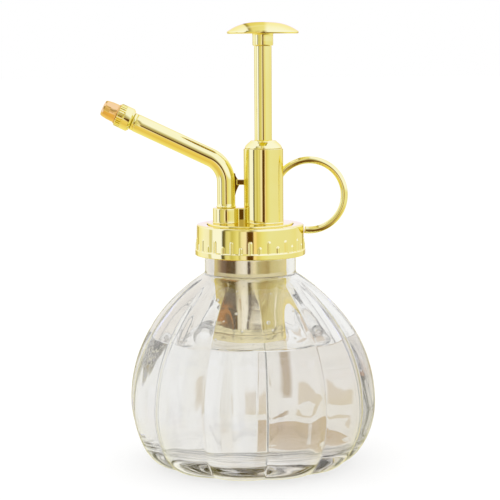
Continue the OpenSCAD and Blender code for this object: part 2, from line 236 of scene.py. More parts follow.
def gold(name, base, alt, rough=0.045, wave=0.25, grain=0.0):
    """Bright plating over drawn or cast brass: colour drifts a little, the polish varies, and the metal under it is not quite flat."""
    m, nt = new_mat(name)
    out = node(nt, "ShaderNodeOutputMaterial")
    b = node(nt, "ShaderNodeBsdfPrincipled")
    b.inputs["Metallic"].default_value = 1.0
    b.inputs["Specular Tint"].default_value = (0.95, 0.84, 0.42, 1)
    tc = node(nt, "ShaderNodeTexCoord")
    big = node(nt, "ShaderNodeTexNoise", i_Scale=55.0, i_Detail=3.0, i_Roughness=0.5)
    link(nt, tc.outputs["Object"], big.inputs["Vector"])
    mix = node(nt, "ShaderNodeMix", data_type="RGBA")
    mix.inputs["A"].default_value = (*base, 1)
    mix.inputs["B"].default_value = (*alt, 1)
    mr = node(nt, "ShaderNodeMapRange")
    mr.inputs["From Min"].default_value, mr.inputs["From Max"].default_value = 0.35, 0.7
    link(nt, big.outputs["Fac"], mr.inputs["Value"])
    link(nt, mr.outputs["Result"], mix.inputs["Factor"])
    link(nt, mix.outputs["Result"], b.inputs["Base Color"])
    fine = node(nt, "ShaderNodeTexNoise", i_Scale=900.0, i_Detail=4.0, i_Roughness=0.6)
    link(nt, tc.outputs["Object"], fine.inputs["Vector"])
    rr = node(nt, "ShaderNodeMapRange")
    rr.inputs["From Min"].default_value, rr.inputs["From Max"].default_value = 0.3, 0.75
    rr.inputs["To Min"].default_value, rr.inputs["To Max"].default_value = rough * 0.6, rough * 1.7
    link(nt, fine.outputs["Fac"], rr.inputs["Value"])
    link(nt, rr.outputs["Result"], b.inputs["Roughness"])
    # polishing lines round the part, and a slow undulation
    st = node(nt, "ShaderNodeMapping")
    st.inputs["Scale"].default_value = (260.0, 260.0, 2600.0)
    link(nt, tc.outputs["Object"], st.inputs["Vector"])
    lines = node(nt, "ShaderNodeTexNoise", i_Scale=1.0, i_Detail=2.0)
    link(nt, st.outputs["Vector"], lines.inputs["Vector"])
    bump1 = node(nt, "ShaderNodeBump", i_Strength=0.035 + grain, i_Distance=0.00004)
    link(nt, lines.outputs["Fac"], bump1.inputs["Height"])
    slow = node(nt, "ShaderNodeTexNoise", i_Scale=150.0, i_Detail=1.0)
    link(nt, tc.outputs["Object"], slow.inputs["Vector"])
    bump2 = node(nt, "ShaderNodeBump", i_Strength=wave, i_Distance=0.00006)
    link(nt, slow.outputs["Fac"], bump2.inputs["Height"])
    link(nt, bump1.outputs["Normal"], bump2.inputs["Normal"])
    link(nt, bump2.outputs["Normal"], b.inputs["Normal"])
    link(nt, b.outputs["BSDF"], out.inputs["Surface"])
    return m


GOLD = gold("gold_plate", (0.92, 0.85, 0.27), (0.90, 0.82, 0.22))
GOLD_CAST = gold("gold_plate_cast", (0.92, 0.85, 0.28), (0.90, 0.81, 0.22), rough=0.05, wave=0.5)
GOLD_DEEP = gold("gold_plate_deep", (0.90, 0.62, 0.17), (0.86, 0.56, 0.14), rough=0.06)
GOLD_IN = gold("gold_plate_inside", (0.86, 0.78, 0.50), (0.82, 0.72, 0.42), rough=0.08)


def glass_like(name, ior, tint, rough, wave_scale, wave_strength, wave_dist, shadow_tint, density=0.0):
    """Clear glass or water: refraction with a faint tint, gentle surface waves, and shadows that let light through."""
    m, nt = new_mat(name)
    out = node(nt, "ShaderNodeOutputMaterial")
    rf = node(nt, "ShaderNodeBsdfRefraction", i_IOR=ior)
    rf.inputs["Color"].default_value = (*tint, 1)
    gl = node(nt, "ShaderNodeBsdfGlossy")
    fr = node(nt, "ShaderNodeFresnel", i_IOR=ior)
    geo = node(nt, "ShaderNodeNewGeometry")
    cmix = node(nt, "ShaderNodeMix", data_type="RGBA")
    cmix.inputs["A"].default_value = (0.85, 0.80, 0.35, 1)      # outer reflections: takes the cool cast of the lights out
    cmix.inputs["B"].default_value = (1.0, 1.0, 1.0, 1)         # inner reflections
    path = node(nt, "ShaderNodeLightPath")
    deep = node(nt, "ShaderNodeMath", operation="GREATER_THAN")
    deep.inputs[1].default_value = 0.5
    link(nt, path.outputs["Transmission Depth"], deep.inputs[0])
    both = node(nt, "ShaderNodeMath", operation="MAXIMUM")
    link(nt, geo.outputs["Backfacing"], both.inputs[0])
    link(nt, deep.outputs[0], both.inputs[1])
    link(nt, both.outputs[0], cmix.inputs["Factor"])
    link(nt, cmix.outputs["Result"], gl.inputs["Color"])
    tc = node(nt, "ShaderNodeTexCoord")
    n1 = node(nt, "ShaderNodeTexNoise", i_Scale=wave_scale, i_Detail=2.0, i_Roughness=0.45)
    link(nt, tc.outputs["Object"], n1.inputs["Vector"])
    bump = node(nt, "ShaderNodeBump", i_Strength=wave_strength, i_Distance=wave_dist)
    link(nt, n1.outputs["Fac"], bump.inputs["Height"])
    n2 = node(nt, "ShaderNodeTexNoise", i_Scale=wave_scale * 9, i_Detail=3.0)
    link(nt, tc.outputs["Object"], n2.inputs["Vector"])
    rr = node(nt, "ShaderNodeMapRange")
    rr.inputs["From Min"].default_value, rr.inputs["From Max"].default_value = 0.45, 0.8
    rr.inputs["To Min"].default_value, rr.inputs["To Max"].default_value = 0.0, rough
    link(nt, n2.outputs["Fac"], rr.inputs["Value"])
    for b in (rf, gl):
        link(nt, bump.outputs["Normal"], b.inputs["Normal"])
        link(nt, rr.outputs["Result"], b.inputs["Roughness"])
    link(nt, bump.outputs["Normal"], fr.inputs["Normal"])
    g = node(nt, "ShaderNodeMixShader")
    link(nt, fr.outputs["Fac"], g.inputs["Fac"])
    link(nt, rf.outputs["BSDF"], g.inputs[1])
    link(nt, gl.outputs["BSDF"], g.inputs[2])
    tr = node(nt, "ShaderNodeBsdfTransparent")
    tr.inputs["Color"].default_value = (*shadow_tint, 1)
    lp = node(nt, "ShaderNodeLightPath")
    mx = node(nt, "ShaderNodeMixShader")
    link(nt, lp.outputs["Is Shadow Ray"], mx.inputs["Fac"])
    link(nt, g.outputs["Shader"], mx.inputs[1])
    link(nt, tr.outputs["BSDF"], mx.inputs[2])
    link(nt, mx.outputs["Shader"], out.inputs["Surface"])
    if density:
        va = node(nt, "ShaderNodeVolumeAbsorption")
        va.inputs["Color"].default_value = (0.80, 0.86, 0.84, 1)
        va.inputs["Density"].default_value = density
        link(nt, va.outputs["Volume"], out.inputs["Volume"])
    return m


GLASS = glass_like("clear_glass", 1.5, (0.985, 0.985, 0.985), 0.02, 70.0, 0.35, 0.00012, (0.96, 0.96, 0.96))
WATER = glass_like("water", 1.33, (0.99, 0.99, 0.99), 0.0, 30.0, 0.02, 0.00005, (0.97, 0.97, 0.97))


def plain(name, col, alt, rough, scale, bump=0.2, dist=0.00005, coat=0.0, sss=0.0, transmission=0.0, metallic=0.0):
    m, nt = new_mat(name)
    out = node(nt, "ShaderNodeOutputMaterial")
    b = node(nt, "ShaderNodeBsdfPrincipled")
    b.inputs["Metallic"].default_value = metallic
    b.inputs["Coat Weight"].default_value = coat
    b.inputs["Transmission Weight"].default_value = transmission
    if sss:
        b.inputs["Subsurface Weight"].default_value = sss
        b.inputs["Subsurface Radius"].default_value = (0.002, 0.002, 0.002)
    tc = node(nt, "ShaderNodeTexCoord")
    n1 = node(nt, "ShaderNodeTexNoise", i_Scale=scale, i_Detail=5.0, i_Roughness=0.6)
    link(nt, tc.outputs["Object"], n1.inputs["Vector"])
    mix = node(nt, "ShaderNodeMix", data_type="RGBA")
    mix.inputs["A"].default_value = (*col, 1)
    mix.inputs["B"].default_value = (*alt, 1)
    link(nt, n1.outputs["Fac"], mix.inputs["Factor"])
    link(nt, mix.outputs["Result"], b.inputs["Base Color"])
    rr = node(nt, "ShaderNodeMapRange")
    rr.inputs["To Min"].default_value, rr.inputs["To Max"].default_value = rough * 0.8, rough * 1.2
    link(nt, n1.outputs["Fac"], rr.inputs["Value"])
    link(nt, rr.outputs["Result"], b.inputs["Roughness"])
    bp = node(nt, "ShaderNodeBump", i_Strength=bump, i_Distance=dist)
    link(nt, n1.outputs["Fac"], bp.inputs["Height"])
    link(nt, bp.outputs["Normal"], b.inputs["Normal"])
    link(nt, b.outputs["BSDF"], out.inputs["Surface"])
    return m


RUBBER = plain("nitrile", (0.012, 0.012, 0.013), (0.025, 0.025, 0.027), 0.55, 1800.0)
STEEL = plain("drawn_steel", (0.56, 0.57, 0.58), (0.48, 0.49, 0.50), 0.22, 1500.0, metallic=1.0)
ACETAL = plain("natural_acetal", (0.80, 0.80, 0.76), (0.74, 0.74, 0.70), 0.42, 900.0, sss=0.15)
TUBE = plain("clear_tube", (0.86, 0.87, 0.86), (0.80, 0.82, 0.81), 0.18, 700.0, transmission=0.85)

# ================================================================ bottle
def bez(p, t):
    a, b, c, d = [np.array(q, float) for q in p]
    return (1 - t) ** 3 * a + 3 * (1 - t) ** 2 * t * b + 3 * (1 - t) * t * t * c + t ** 3 * d


LOWER = [(30.2, 0.8), (37.5, 0.9), (PEAK_R - 0.06, EQ_Z - 8.1), (PEAK_R - 0.06, EQ_Z)]
UPPER = [(PEAK_R - 0.06, EQ_Z), (PEAK_R - 0.06, EQ_Z + 30.2), (NECK_R + 0.8, NECK_Z - 0.85), (NECK_R + 0.27, NECK_Z)]
ARC_S = 0.41


def lobe_f(a, soft=0.9):
    """Radius of the lobed section over its crest radius; the crease is rounded over a small angle."""
    s = 360.0 / LOBES
    m = (a - CREASE) % s - s / 2
    h = s / 2
    am = abs(m)
    e = h - am
    if e < soft:                    # a small parabola across the crease
        am = h - (soft / 2 + e * e / (2 * soft))
    c = 1 - ARC_S
    return c * math.cos(rad(am)) + math.sqrt(ARC_S ** 2 - (c * math.sin(rad(am))) ** 2)


def crease_w(z):
    t = min(1, max(0, (NECK_Z - z) / 9))
    return t * t * (3 - 2 * t) * 0.35 + t * 0.65


def bottle_angles(per=30):
    """Columns that crowd towards each crease."""
    out = []
    s = 360.0 / LOBES
    for k in range(LOBES):
        for i in range(per):
            t = i / per
            u = t - 0.62 * math.sin(2 * math.pi * t) / (2 * math.pi)
            out.append(CREASE + s * (k + u))
    return out


def out_profile():
    pts = [tuple(bez(LOWER, t)) for t in np.linspace(0, 1, 44)]
    pts += [tuple(bez(UPPER, t)) for t in np.linspace(0, 1, 96)[1:]]
    return pts


OUT = out_profile()
LEAN = 0.45          # the moulded body sits this much to +X of the neck's axis


def lean(z):
    return LEAN * min(1, max(0, (NECK_Z - z) / 22)) * min(1, 0.4 + z / 20)


def build_bottle():
    A = bottle_angles()
    n = len(A)
    rows = []            # each: list of (r, z) per column, or a single axis point
    F = [lobe_f(a) for a in A]
    # underside from the axis: the recess dome, the foot with its stippled edge, then the base
    R, hgt = 21.0, 2.6
    sr = (R * R + hgt * hgt) / (2 * hgt)
    def dome(r): return hgt - sr + math.sqrt(sr * sr - r * r)
    verts, faces = [], []
    def add_row(fn):
        row = []
        for i, a in enumerate(A):
            r, z = fn(i, a)
            row.append(len(verts))
            verts.append((r * math.cos(rad(a)) + (lean(z) if leaning else 0.0), r * math.sin(rad(a)), z))
        rows.append(row)
    leaning = False
    rows.append([0]); verts.append((0, 0, dome(0)))
    for r in (2, 4, 7, 10, 13, 16, 18, 19.5, 20.4):
        add_row(lambda i, a, r=r: (r, dome(r)))
    add_row(lambda i, a: (21.0, 0.08))
    add_row(lambda i, a: (21.5, 0.0))
    add_row(lambda i, a: (25.7, 0.0))
    # crescent stippling round the foot's outer edge
    def stip(a, k): return 0.16 * (0.5 + 0.5 * math.cos(rad(a * 72))) * k
    add_row(lambda i, a: (26.2 + stip(a, 0.5), 0.1))
    add_row(lambda i, a: (26.55 + stip(a, 1.0), 0.42))
    add_row(lambda i, a: (27.2 + stip(a, 0.6), 0.70))
    add_row(lambda i, a: (28.4 + 0.0 * F[i], 0.78))
    leaning = True
    for k, (r, z) in enumerate(OUT):
        # the lowest edge follows the lobes too
        add_row(lambda i, a, r=r, z=z: (r * (1 - crease_w(z) * (1 - F[i])), z))
    leaning = False
    # neck: a soft step, the plain band, the thread zone, the rim
    def thr(a, z):
        """height of the thread ridge at an angle and height: 375 degrees of a right-hand helix"""
        best = 0.0
        for turn in (0, 360):
            th = a % 360 + turn
            if 0 <= th <= 375:
                zc = 74.3 + 3.175 * th / 360
                d = abs(z - zc)
                k = min(1.0, min(th, 375 - th) / 26 + 0.02)
                w = 1.05 - 0.62 * 0
                if d < 1.05:
                    t = min(1.0, (1.05 - d) / 0.55)
                    best = max(best, 1.12 * k * (t * t * (3 - 2 * t)))
        return best
    neck = [(NECK_R + 0.12, NECK_Z + 0.05), (NECK_R + 0.02, NECK_Z + 0.3), (NECK_R, NECK_Z + 0.7)]
    neck += [(NECK_R, z) for z in (67.4, 68.2, 69, 70, 71, 71.6)]
    neck += [(NECK_R, 72.0), (NECK_R - 0.05, 72.25), (15.35, 72.5), (15.26, 72.8)]
    for r, z in neck:
        add_row(lambda i, a, r=r, z=z: (r, z))
    for z in np.arange(73.0, 78.75, 0.14):
        add_row(lambda i, a, z=z: (15.25 + thr(a, z), z))
    for r, z in ((15.2, 78.8), (15.0, 78.95), (14.7, 79.0), (13.9, 79.0), (13.45, 78.93), (13.25, 78.75), (13.2, 78.4)):
        add_row(lambda i, a, r=r, z=z: (r, z))
    for z in np.linspace(77.5, 66.5, 10):
        add_row(lambda i, a, z=z: (13.2, z))
    # inside: the lobes come through softly
    leaning = True
    inner = inner_profile()
    for r, z in inner[:-1]:
        add_row(lambda i, a, r=r, z=z: (in_r(r, z, a), z))
    rows.append([len(verts)]); verts.append((lean(inner[-1][1]), 0, inner[-1][1]))
    for a, b in zip(rows[:-1], rows[1:]):
        for i in range(n):
            j = (i + 1) % n
            if len(a) == 1:
                faces.append((a[0], b[i], b[j]))
            elif len(b) == 1:
                faces.append((a[j], a[i], b[0]))
            else:
                faces.append((a[j], a[i], b[i], b[j]))
    ob = make("bottle_glass", verts, faces, "bottle", ("glass_bottle",), GLASS)
    fix_normals(ob)
    return ob


WALL = 2.6


def inner_profile():
    """From the neck down to the floor's middle: an even wall under the outer skin."""
    O = np.array(OUT)
    d = np.gradient(O, axis=0)
    nrm = np.stack([-d[:, 1], d[:, 0]], axis=1)
    nrm /= np.linalg.norm(nrm, axis=1)[:, None]
    off = O + nrm * WALL
    off = off[len(off) // 5:]
    off[:, 0] *= 0.988
    keep = off[np.argsort(off[:, 1])]
    pts = []
    for z in np.concatenate([np.linspace(65.6, 52, 34), np.linspace(51.6, 44.3, 18), np.linspace(44.1, 42.5, 14), np.linspace(42.2, 14, 44)]):
        pts.append((max(13.2, float(np.interp(z, keep[:, 1], keep[:, 0]))), float(z)))
    r14 = pts[-1][0]
    # the floor's corner: a generous radius into a nearly flat floor
    corner = [(r14 - 0.15, 13.0), (r14 - 0.5, 12.0), (r14 - 1.15, 11.0), (r14 - 2.1, 10.1), (r14 - 3.4, 9.35), (r14 - 5.2, 8.7),
              (r14 - 7.4, 8.15), (24.0, 7.55), (20.0, 7.1), (15.0, 6.7), (10.0, 6.4), (5.0, 6.25), (0.0, 6.2)]
    return pts + corner


def in_r(r, z, a):
    if r < 1e-6:
        return r
    k = min(1, max(0, (64 - z) / 12)) * min(1, max(0, (z - 7.0) / 5))
    s = 360.0 / LOBES
    m = (a - CREASE) % s - s / 2
    soft = 0.5 + 0.5 * math.cos(rad(m * 360 / s))       # 1 at the crest, 0 at the crease
    return r * (1 - 0.040 * k * (1 - soft))


bottle = build_bottle()


# ---------------------------------------------------------------- water, with its meniscus
def build_water():
    A = bottle_angles(12)
    n = len(A)
    inner = [p for p in inner_profile() if p[1] <= WATER_Z + 1.6]
    top = WATER_Z
    verts, faces, rows = [], [], []
    def add_row(fn):
        row = []
        for i, a in enumerate(A):
            r, z = fn(i, a)
            row.append(len(verts))
            verts.append((r * math.cos(rad(a)) + lean(z), r * math.sin(rad(a)), z))
        rows.append(row)
    rows.append([0]); verts.append((lean(6), 0, inner[-1][1] - 0.12))
    for r, z in inner[::-1][1:]:
        if z > top + 1.0:
            break
        dz = 0.12 if z < 9.5 else 0.0
        add_row(lambda i, a, r=r, z=z: (in_r(r, z, a) + (0.12 if z > 8.0 else 0.0), z - dz))
    # meniscus: the surface climbs the wall by about a millimetre
    rw, zw = [p for p in inner if p[1] <= top + 1.0][0]
    for d, up in ((0.0, 0.98), (0.12, 0.86), (0.3, 0.66), (0.6, 0.44), (1.1, 0.24), (1.8, 0.1), (2.8, 0.03), (4.5, 0.0)):
        add_row(lambda i, a, d=d, up=up: (in_r(rw, zw, a) - d, top + up))
    for r in (28, 24, 20, 16, 12, 8, 4):
        add_row(lambda i, a, r=r: (r, top))
    rows.append([len(verts)]); verts.append((lean(top), 0, top))
    for a, b in zip(rows[:-1], rows[1:]):
        for i in range(n):
            j = (i + 1) % n
            if len(a) == 1:
                faces.append((a[0], b[i], b[j]))
            elif len(b) == 1:
                faces.append((a[j], a[i], b[0]))
            else:
                faces.append((a[j], a[i], b[i], b[j]))
    ob = make("water", verts, faces, "bottle", (), WATER)
    fix_normals(ob)
    return ob


water = build_water()


# ---------------------------------------------------------------- a few drops left on the inside of the shoulder
def build_drops():
    P = inner_profile()
    zs, rs = [p[1] for p in P][::-1], [p[0] for p in P][::-1]
    verts, faces = [], []
    drops = [(-121, 58.5, 0.62), (-117.5, 57.2, 0.34), (-104, 61.2, 0.40), (-101, 55.0, 0.46), (-96, 50.0, 0.36), (-112, 47.2, 0.5), (-90, 46.2, 0.42), (-78, 52.4, 0.62),
             (-76, 50.2, 0.38), (-84, 57.0, 0.3), (-131, 50.5, 0.42), (-64, 47.5, 0.4), (-58, 55.0, 0.34), (-46, 49.0, 0.5), (-143, 47.0, 0.36), (-70, 60.4, 0.32), (-109, 52.6, 0.3), (-93, 53.2, 0.26)]
    for a, z, q in drops:
        r = in_r(float(np.interp(z, zs, rs)), z, a)
        c = Vector((r * math.cos(rad(a)) + lean(z), r * math.sin(rad(a)), z))
        dr = (float(np.interp(z + 0.5, zs, rs)) - float(np.interp(z - 0.5, zs, rs)))
        nrm = Vector((-math.cos(rad(a)), -math.sin(rad(a)), dr)).normalized()       # into the bottle
        up = (Vector((0, 0, 1)) - nrm * nrm.z).normalized()
        side = nrm.cross(up)
        base, m, k = len(verts), 14, 7
        c = c - nrm * q * 0.18
        verts.append(tuple(c + nrm * q * 0.75))
        for i in range(1, k):
            t = math.pi * i / k
            for j in range(m):
                b = 2 * math.pi * j / m
                sag = 1.0 + 0.25 * max(0.0, -math.sin(b))                             # hangs a little lower than it is wide
                verts.append(tuple(c + nrm * (q * 0.75 * math.cos(t)) + side * (q * math.sin(t) * math.cos(b)) + up * (q * sag * math.sin(t) * math.sin(b))))
        verts.append(tuple(c - nrm * q * 0.75))
        for j in range(m):
            n = (j + 1) % m
            faces.append((base, base + 1 + j, base + 1 + n))
            for i in range(k - 2):
                faces.append((base + 1 + i * m + j, base + 1 + (i + 1) * m + j, base + 1 + (i + 1) * m + n, base + 1 + i * m + n))
            faces.append((base + 1 + (k - 2) * m + j, len(verts) - 1, base + 1 + (k - 2) * m + n))
    ob = make("water_drops", verts, faces, "bottle", (), WATER)
    fix_normals(ob)
    return ob


drops = build_drops()


# ================================================================ gold parts
def ring_lathe(name, prof, body, mat, replaces, n=128, cx=0.0, m=None, step=None, sharp=35):
    p = dense(prof, step, True) if step else prof
    v, f = lathe(p, n, True, cx)
    if m is not None:
        v = xf(v, m)
    ob = make(name, v, f, body, replaces, mat)
    fix_normals(ob)
    ob.data.set_sharp_from_angle(angle=rad(sharp))
    return ob


def solid_lathe(name, prof, body, mat, replaces, n=128, cx=0.0, m=None, sharp=35):
    v, f = lathe(prof, n, False, cx)
    if m is not None:
        v = xf(v, m)
    ob = make(name, v, f, body, replaces, mat)
    fix_normals(ob)
    ob.data.set_sharp_from_angle(angle=rad(sharp))
    return ob


# ---------------------------------------------------------------- screw collar
def build_collar():
    per = 20
    n = 36 * per
    A = [360.0 * i / n for i in range(n)]
    outer = rounded([(16.9, 72.5, 0.12), (18.9, 72.5, 0.28), (18.9, 74.25, 0.3), (18.47, 74.62, 0.15), (18.30, 82.0, 0), (18.24, 82.9, 0.75), (14.78, 82.9, 0.2)], 6)
    ribz = sorted(set([round(74.3 + 0.18 * i, 3) for i in range(0, 28)]))
    prof = []
    for a, b in zip(outer[:-1], outer[1:]):
        prof.append(a)
        if abs(b[1] - a[1]) > 3 and a[0] > 17.5:      # the tall wall: rows for the ribs
            for z in ribz:
                if a[1] + 0.05 < z < min(b[1], 79.4):
                    prof.append((a[0] + (b[0] - a[0]) * (z - a[1]) / (b[1] - a[1]), z))
            for z in (80.0, 80.8, 81.5):
                prof.append((a[0] + (b[0] - a[0]) * (z - a[1]) / (b[1] - a[1]), z))
    prof.append(outer[-1])
    k_out = len(prof)
    inner = [(14.78, 82.2), (14.78, 81.72), (15.2, 81.68), (16.4, 81.68), (16.75, 81.5)]
    inner += [(16.75, z) for z in np.arange(81.0, 72.9, -0.17)]
    inner += [(16.78, 72.7)]
    prof += inner
    def rib(a, z):
        d = (a + 90) % 10
        d = min(d, 10 - d)
        idx = int(round(((a + 90) % 360) / 10)) % 36
        top = 78.6 if idx % 2 == 0 else 76.75
        x = d * 18.4 * math.pi / 180
        w = 0.50
        if z > top:
            return 0
        if z > top - w:
            q = (z - (top - w)) / w
            ww = w * math.sqrt(max(0, 1 - q * q))
        else:
            ww = w
        if ww <= 0 or x >= ww:
            return 0
        return 0.30 * math.sqrt(max(0, 1 - (x / ww) ** 2)) * min(1, ww / w)
    def thr(a, z):
        best = 0.0
        for turn in (0, 360):
            th = a % 360 + turn
            if 120 <= th <= 480:
                zc = 74.3 - 3.175 / 2 + 3.175 * th / 360
                d = abs(z - zc)
                k = min(1.0, min(th - 120, 480 - th) / 26 + 0.02)
                if d < 1.0:
                    t = min(1.0, (1.0 - d) / 0.55)
                    best = max(best, 1.05 * k * (t * t * (3 - 2 * t)))
        return best
    def disp(k, a, r, z):
        if k < k_out:
            if 18.2 < r < 18.6 and 74.4 < z < 79.2:
                return r + rib(a, z), z
            return r, z
        if r > 16.7 and z < 81.2:
            return r - thr(a, z), z
        return r, z
    v, f = lathe(prof, closed=True, disp=disp, angles=A)
    ob = make("screw_collar_skin", v, f, "collar", ("screw_collar",), GOLD_CAST)
    fix_normals(ob)
    ob.data.set_sharp_from_angle(angle=rad(50))
    return ob


collar = build_collar()


# ---------------------------------------------------------------- pump head: plateau, barrel, boss and web in one casting
def boolean(base, other, op):
    m = base.modifiers.new("b", "BOOLEAN")
    m.operation = op
    m.solver = "EXACT"
    m.object = other
    dg = bpy.context.evaluated_depsgraph_get()
    me = bpy.data.meshes.new_from_object(base.evaluated_get(dg))
    base.modifiers.clear()
    old = base.data
    base.data = me
    bpy.data.meshes.remove(old)
    bpy.data.objects.remove(other)


def raw(name, v, f):
    ob = make(name, v, f, None, (), GOLD_CAST)
    fix_normals(ob)
    return ob


def box_mesh(x0, x1, y0, y1, z0, z1, r=0.3, seg=3):
    import bmesh
    bm = bmesh.new()
    bmesh.ops.create_cube(bm, size=1)
    for v in bm.verts:
        v.co.x = x0 if v.co.x < 0 else x1
        v.co.y = y0 if v.co.y < 0 else y1
        v.co.z = z0 if v.co.z < 0 else z1
    bmesh.ops.bevel(bm, geom=list(bm.edges), offset=r, segments=seg, profile=0.5, affect="EDGES")
    v = [tuple(x.co) for x in bm.verts]
    f = [tuple(x.index for x in p.verts) for p in bm.faces]
    bm.free()
    return v, f


def web_mesh():
    """The web between boss and barrel: a bar whose sides flare into both with small fillets, and whose top edge is broken."""
    fr, hw = 0.7, 2.2
    def side(off):
        w = hw - off
        pts = []
        # boss side: fillet tangent to the boss circle and to the web's side
        for cx, R, sgn in ((SX, 4.6 - off, 1), (BX, 6.75 - off, -1)):
            q = fr + off
            dy = w + q
            dx = math.sqrt((R + q) ** 2 - dy ** 2)
            fx = cx + sgn * dx
            ang = math.atan2(0 - dy, cx - fx)          # towards the circle's centre
            a0, a1 = ang, -math.pi / 2
            if sgn < 0:
                a0, a1 = ang, -math.pi / 2
            arcp = [(fx + q * math.cos(a0 + (a1 - a0) * i / 6), dy + q * math.sin(a0 + (a1 - a0) * i / 6)) for i in range(7)]
            pts += arcp if sgn > 0 else arcp[::-1]
        return pts
    levels = [(82.6, 0.0), (88.0, 0.0), (88.23, 0.06), (88.38, 0.19), (88.44, 0.36)]
    verts, faces = [], []
    m = None
    for z, off in levels:
        up = side(off)
        loop = [(SX, up[0][1])] + up + [(BX, up[-1][1])]
        loop = loop + [(x, -y) for x, y in loop[::-1]]
        m = len(loop)
        verts += [(x, y, z) for x, y in loop]
    for i in range(len(levels) - 1):
        for j in range(m):
            k = (j + 1) % m
            faces.append((i * m + j, i * m + k, (i + 1) * m + k, (i + 1) * m + j))
    faces.append(tuple(range(m))[::-1])
    faces.append(tuple((len(levels) - 1) * m + j for j in range(m)))
    return verts, faces


def build_head():
    base = rounded([(0, 79.9), (15.88, 79.9, 0.15), (15.88, 81.6, 0.15), (14.6, 81.6, 0), (14.6, 83.4, 0.35), (0, 83.4)], 5)
    base = [(0, 79.9)] + [p for p in base if p[0] > 1e-6] + [(0, 83.4)]
    base = [base[0]] + dense(base[1:-1], 2.5) + [(12, 83.4), (8, 83.4), (4, 83.4), base[-1]]
    v, f = lathe(base, 192)
    a = raw("pump_head_casting", v, f)
    v, f = lathe([(0, 74), (11.2, 74), (11.38, 74.2), (11.38, 80.5), (0, 80.5)], 160)
    boolean(a, raw("t", v, f), "UNION")
    # barrel with a small fillet at its foot and a broken top edge
    foot = [(0, 82.5), (7.15, 82.5), (7.15, 83.4)] + arc(7.15, 83.8, 0.4, 270, 180, 6)
    prof = foot + [(6.75, 86), (6.75, 90), (6.75, 95), (6.75, 100), (6.75, 105)] + arc(6.6, 108.52, 0.15, 0, 90, 4) + [(0, 108.67)]
    v, f = lathe(prof, 192, cx=BX)
    boolean(a, raw("t", v, f), "UNION")
    prof = [(0, 82.5), (4.9, 82.5), (4.9, 83.4)] + arc(4.9, 83.7, 0.3, 270, 180, 5) + [(4.6, 86)] + arc(4.25, 88.15, 0.35, 0, 90, 6) + [(0, 88.5)]
    v, f = lathe(prof, 144, cx=SX)
    boolean(a, raw("t", v, f), "UNION")
    v, f = web_mesh()
    boolean(a, raw("t", v, f), "UNION")
    # bores: liner, riser, ball chamber, spout socket
    v, f = lathe([(0, 70), (5.62, 70), (5.62, 115), (0, 115)], 128, cx=BX)
    boolean(a, raw("t", v, f), "DIFFERENCE")
    v, f = lathe([(0, 73), (2.05, 73), (2.05, 80), (2.35, 80), (2.35, 86.6), (3.13, 86.6), (3.13, 95), (0, 95)], 96, cx=SX)
    boolean(a, raw("t", v, f), "DIFFERENCE")
    for p in a.data.polygons:
        p.use_smooth = True
    a.data.set_sharp_from_angle(angle=rad(32))
    a.data.materials.clear()
    a.data.materials.append(GOLD_CAST)
    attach(a, "head")
    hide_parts("pump_head")
    wn = a.modifiers.new("wn", "WEIGHTED_NORMAL")
    wn.keep_sharp = True
    return a


head = build_head()

# barrel cap: a turned gland nut with a chamfer, a small lip and the rod's hole
cap_prof = rounded([(3.01, 107.3), (5.52, 107.3), (5.55, 108.72), (6.38, 108.72, 0.08), (6.36, 109.0, 0.2), (5.98, 109.75, 0.6), (5.2, 110.55, 0.7), (4.62, 110.98, 0.15),
                    (4.5, 111.22, 0.1), (4.05, 111.47, 0.25), (3.35, 111.53, 0.12), (3.01, 111.4, 0.1)], 5)
barrel_cap = ring_lathe("barrel_cap_turned", cap_prof, "head", GOLD, ("barrel_cap",), 160, BX, step=1.2)

# plunger rod
rod_prof = [(0, 96.9), (1.35, 96.9), (1.5, 97.05), (1.5, 104.5), (2.81, 104.5), (2.96, 104.65)] + [(2.96, z) for z in np.linspace(106, 142.5, 24)] + [
    (2.96, 143.2), (2.36, 143.28), (2.36, 148.7), (2.16, 148.9), (0, 148.9)]
rod = solid_lathe("plunger_rod_turned", rod_prof, "plunger", GOLD, ("plunger_rod",), 144, BX)

# knob: a shallow mushroom on a short socket
KR, KZ, KT = 12.18, 147.85, 151.47
dome = []
for i in range(1, 30):
    u = math.cos(rad(90 * i / 30))
    dome.append(((KR - 0.1) * u, KT - (KT - KZ - 0.42) * (u ** 2.8)))
knob_prof = [(2.38, 148.95), (2.38, 143.45), (2.56, 143.3), (3.05, 143.3)] + arc(3.1, 143.7, 0.4, 270, 360, 6) + [
    (3.5, 145.0), (3.5, 146.4)] + arc(4.0, 146.9, 0.5, 180, 90, 6) + [(6.0, 147.38), (8.5, 147.34), (10.4, 147.3)] + \
    arc(KR - 0.53, 147.83, 0.53, 270, 385, 9) + dome + [(0, KT)]
knob_prof = [(0, 148.95)] + knob_prof
knob = solid_lathe("knob_turned", knob_prof, "plunger", GOLD, ("knob",), 200, BX)


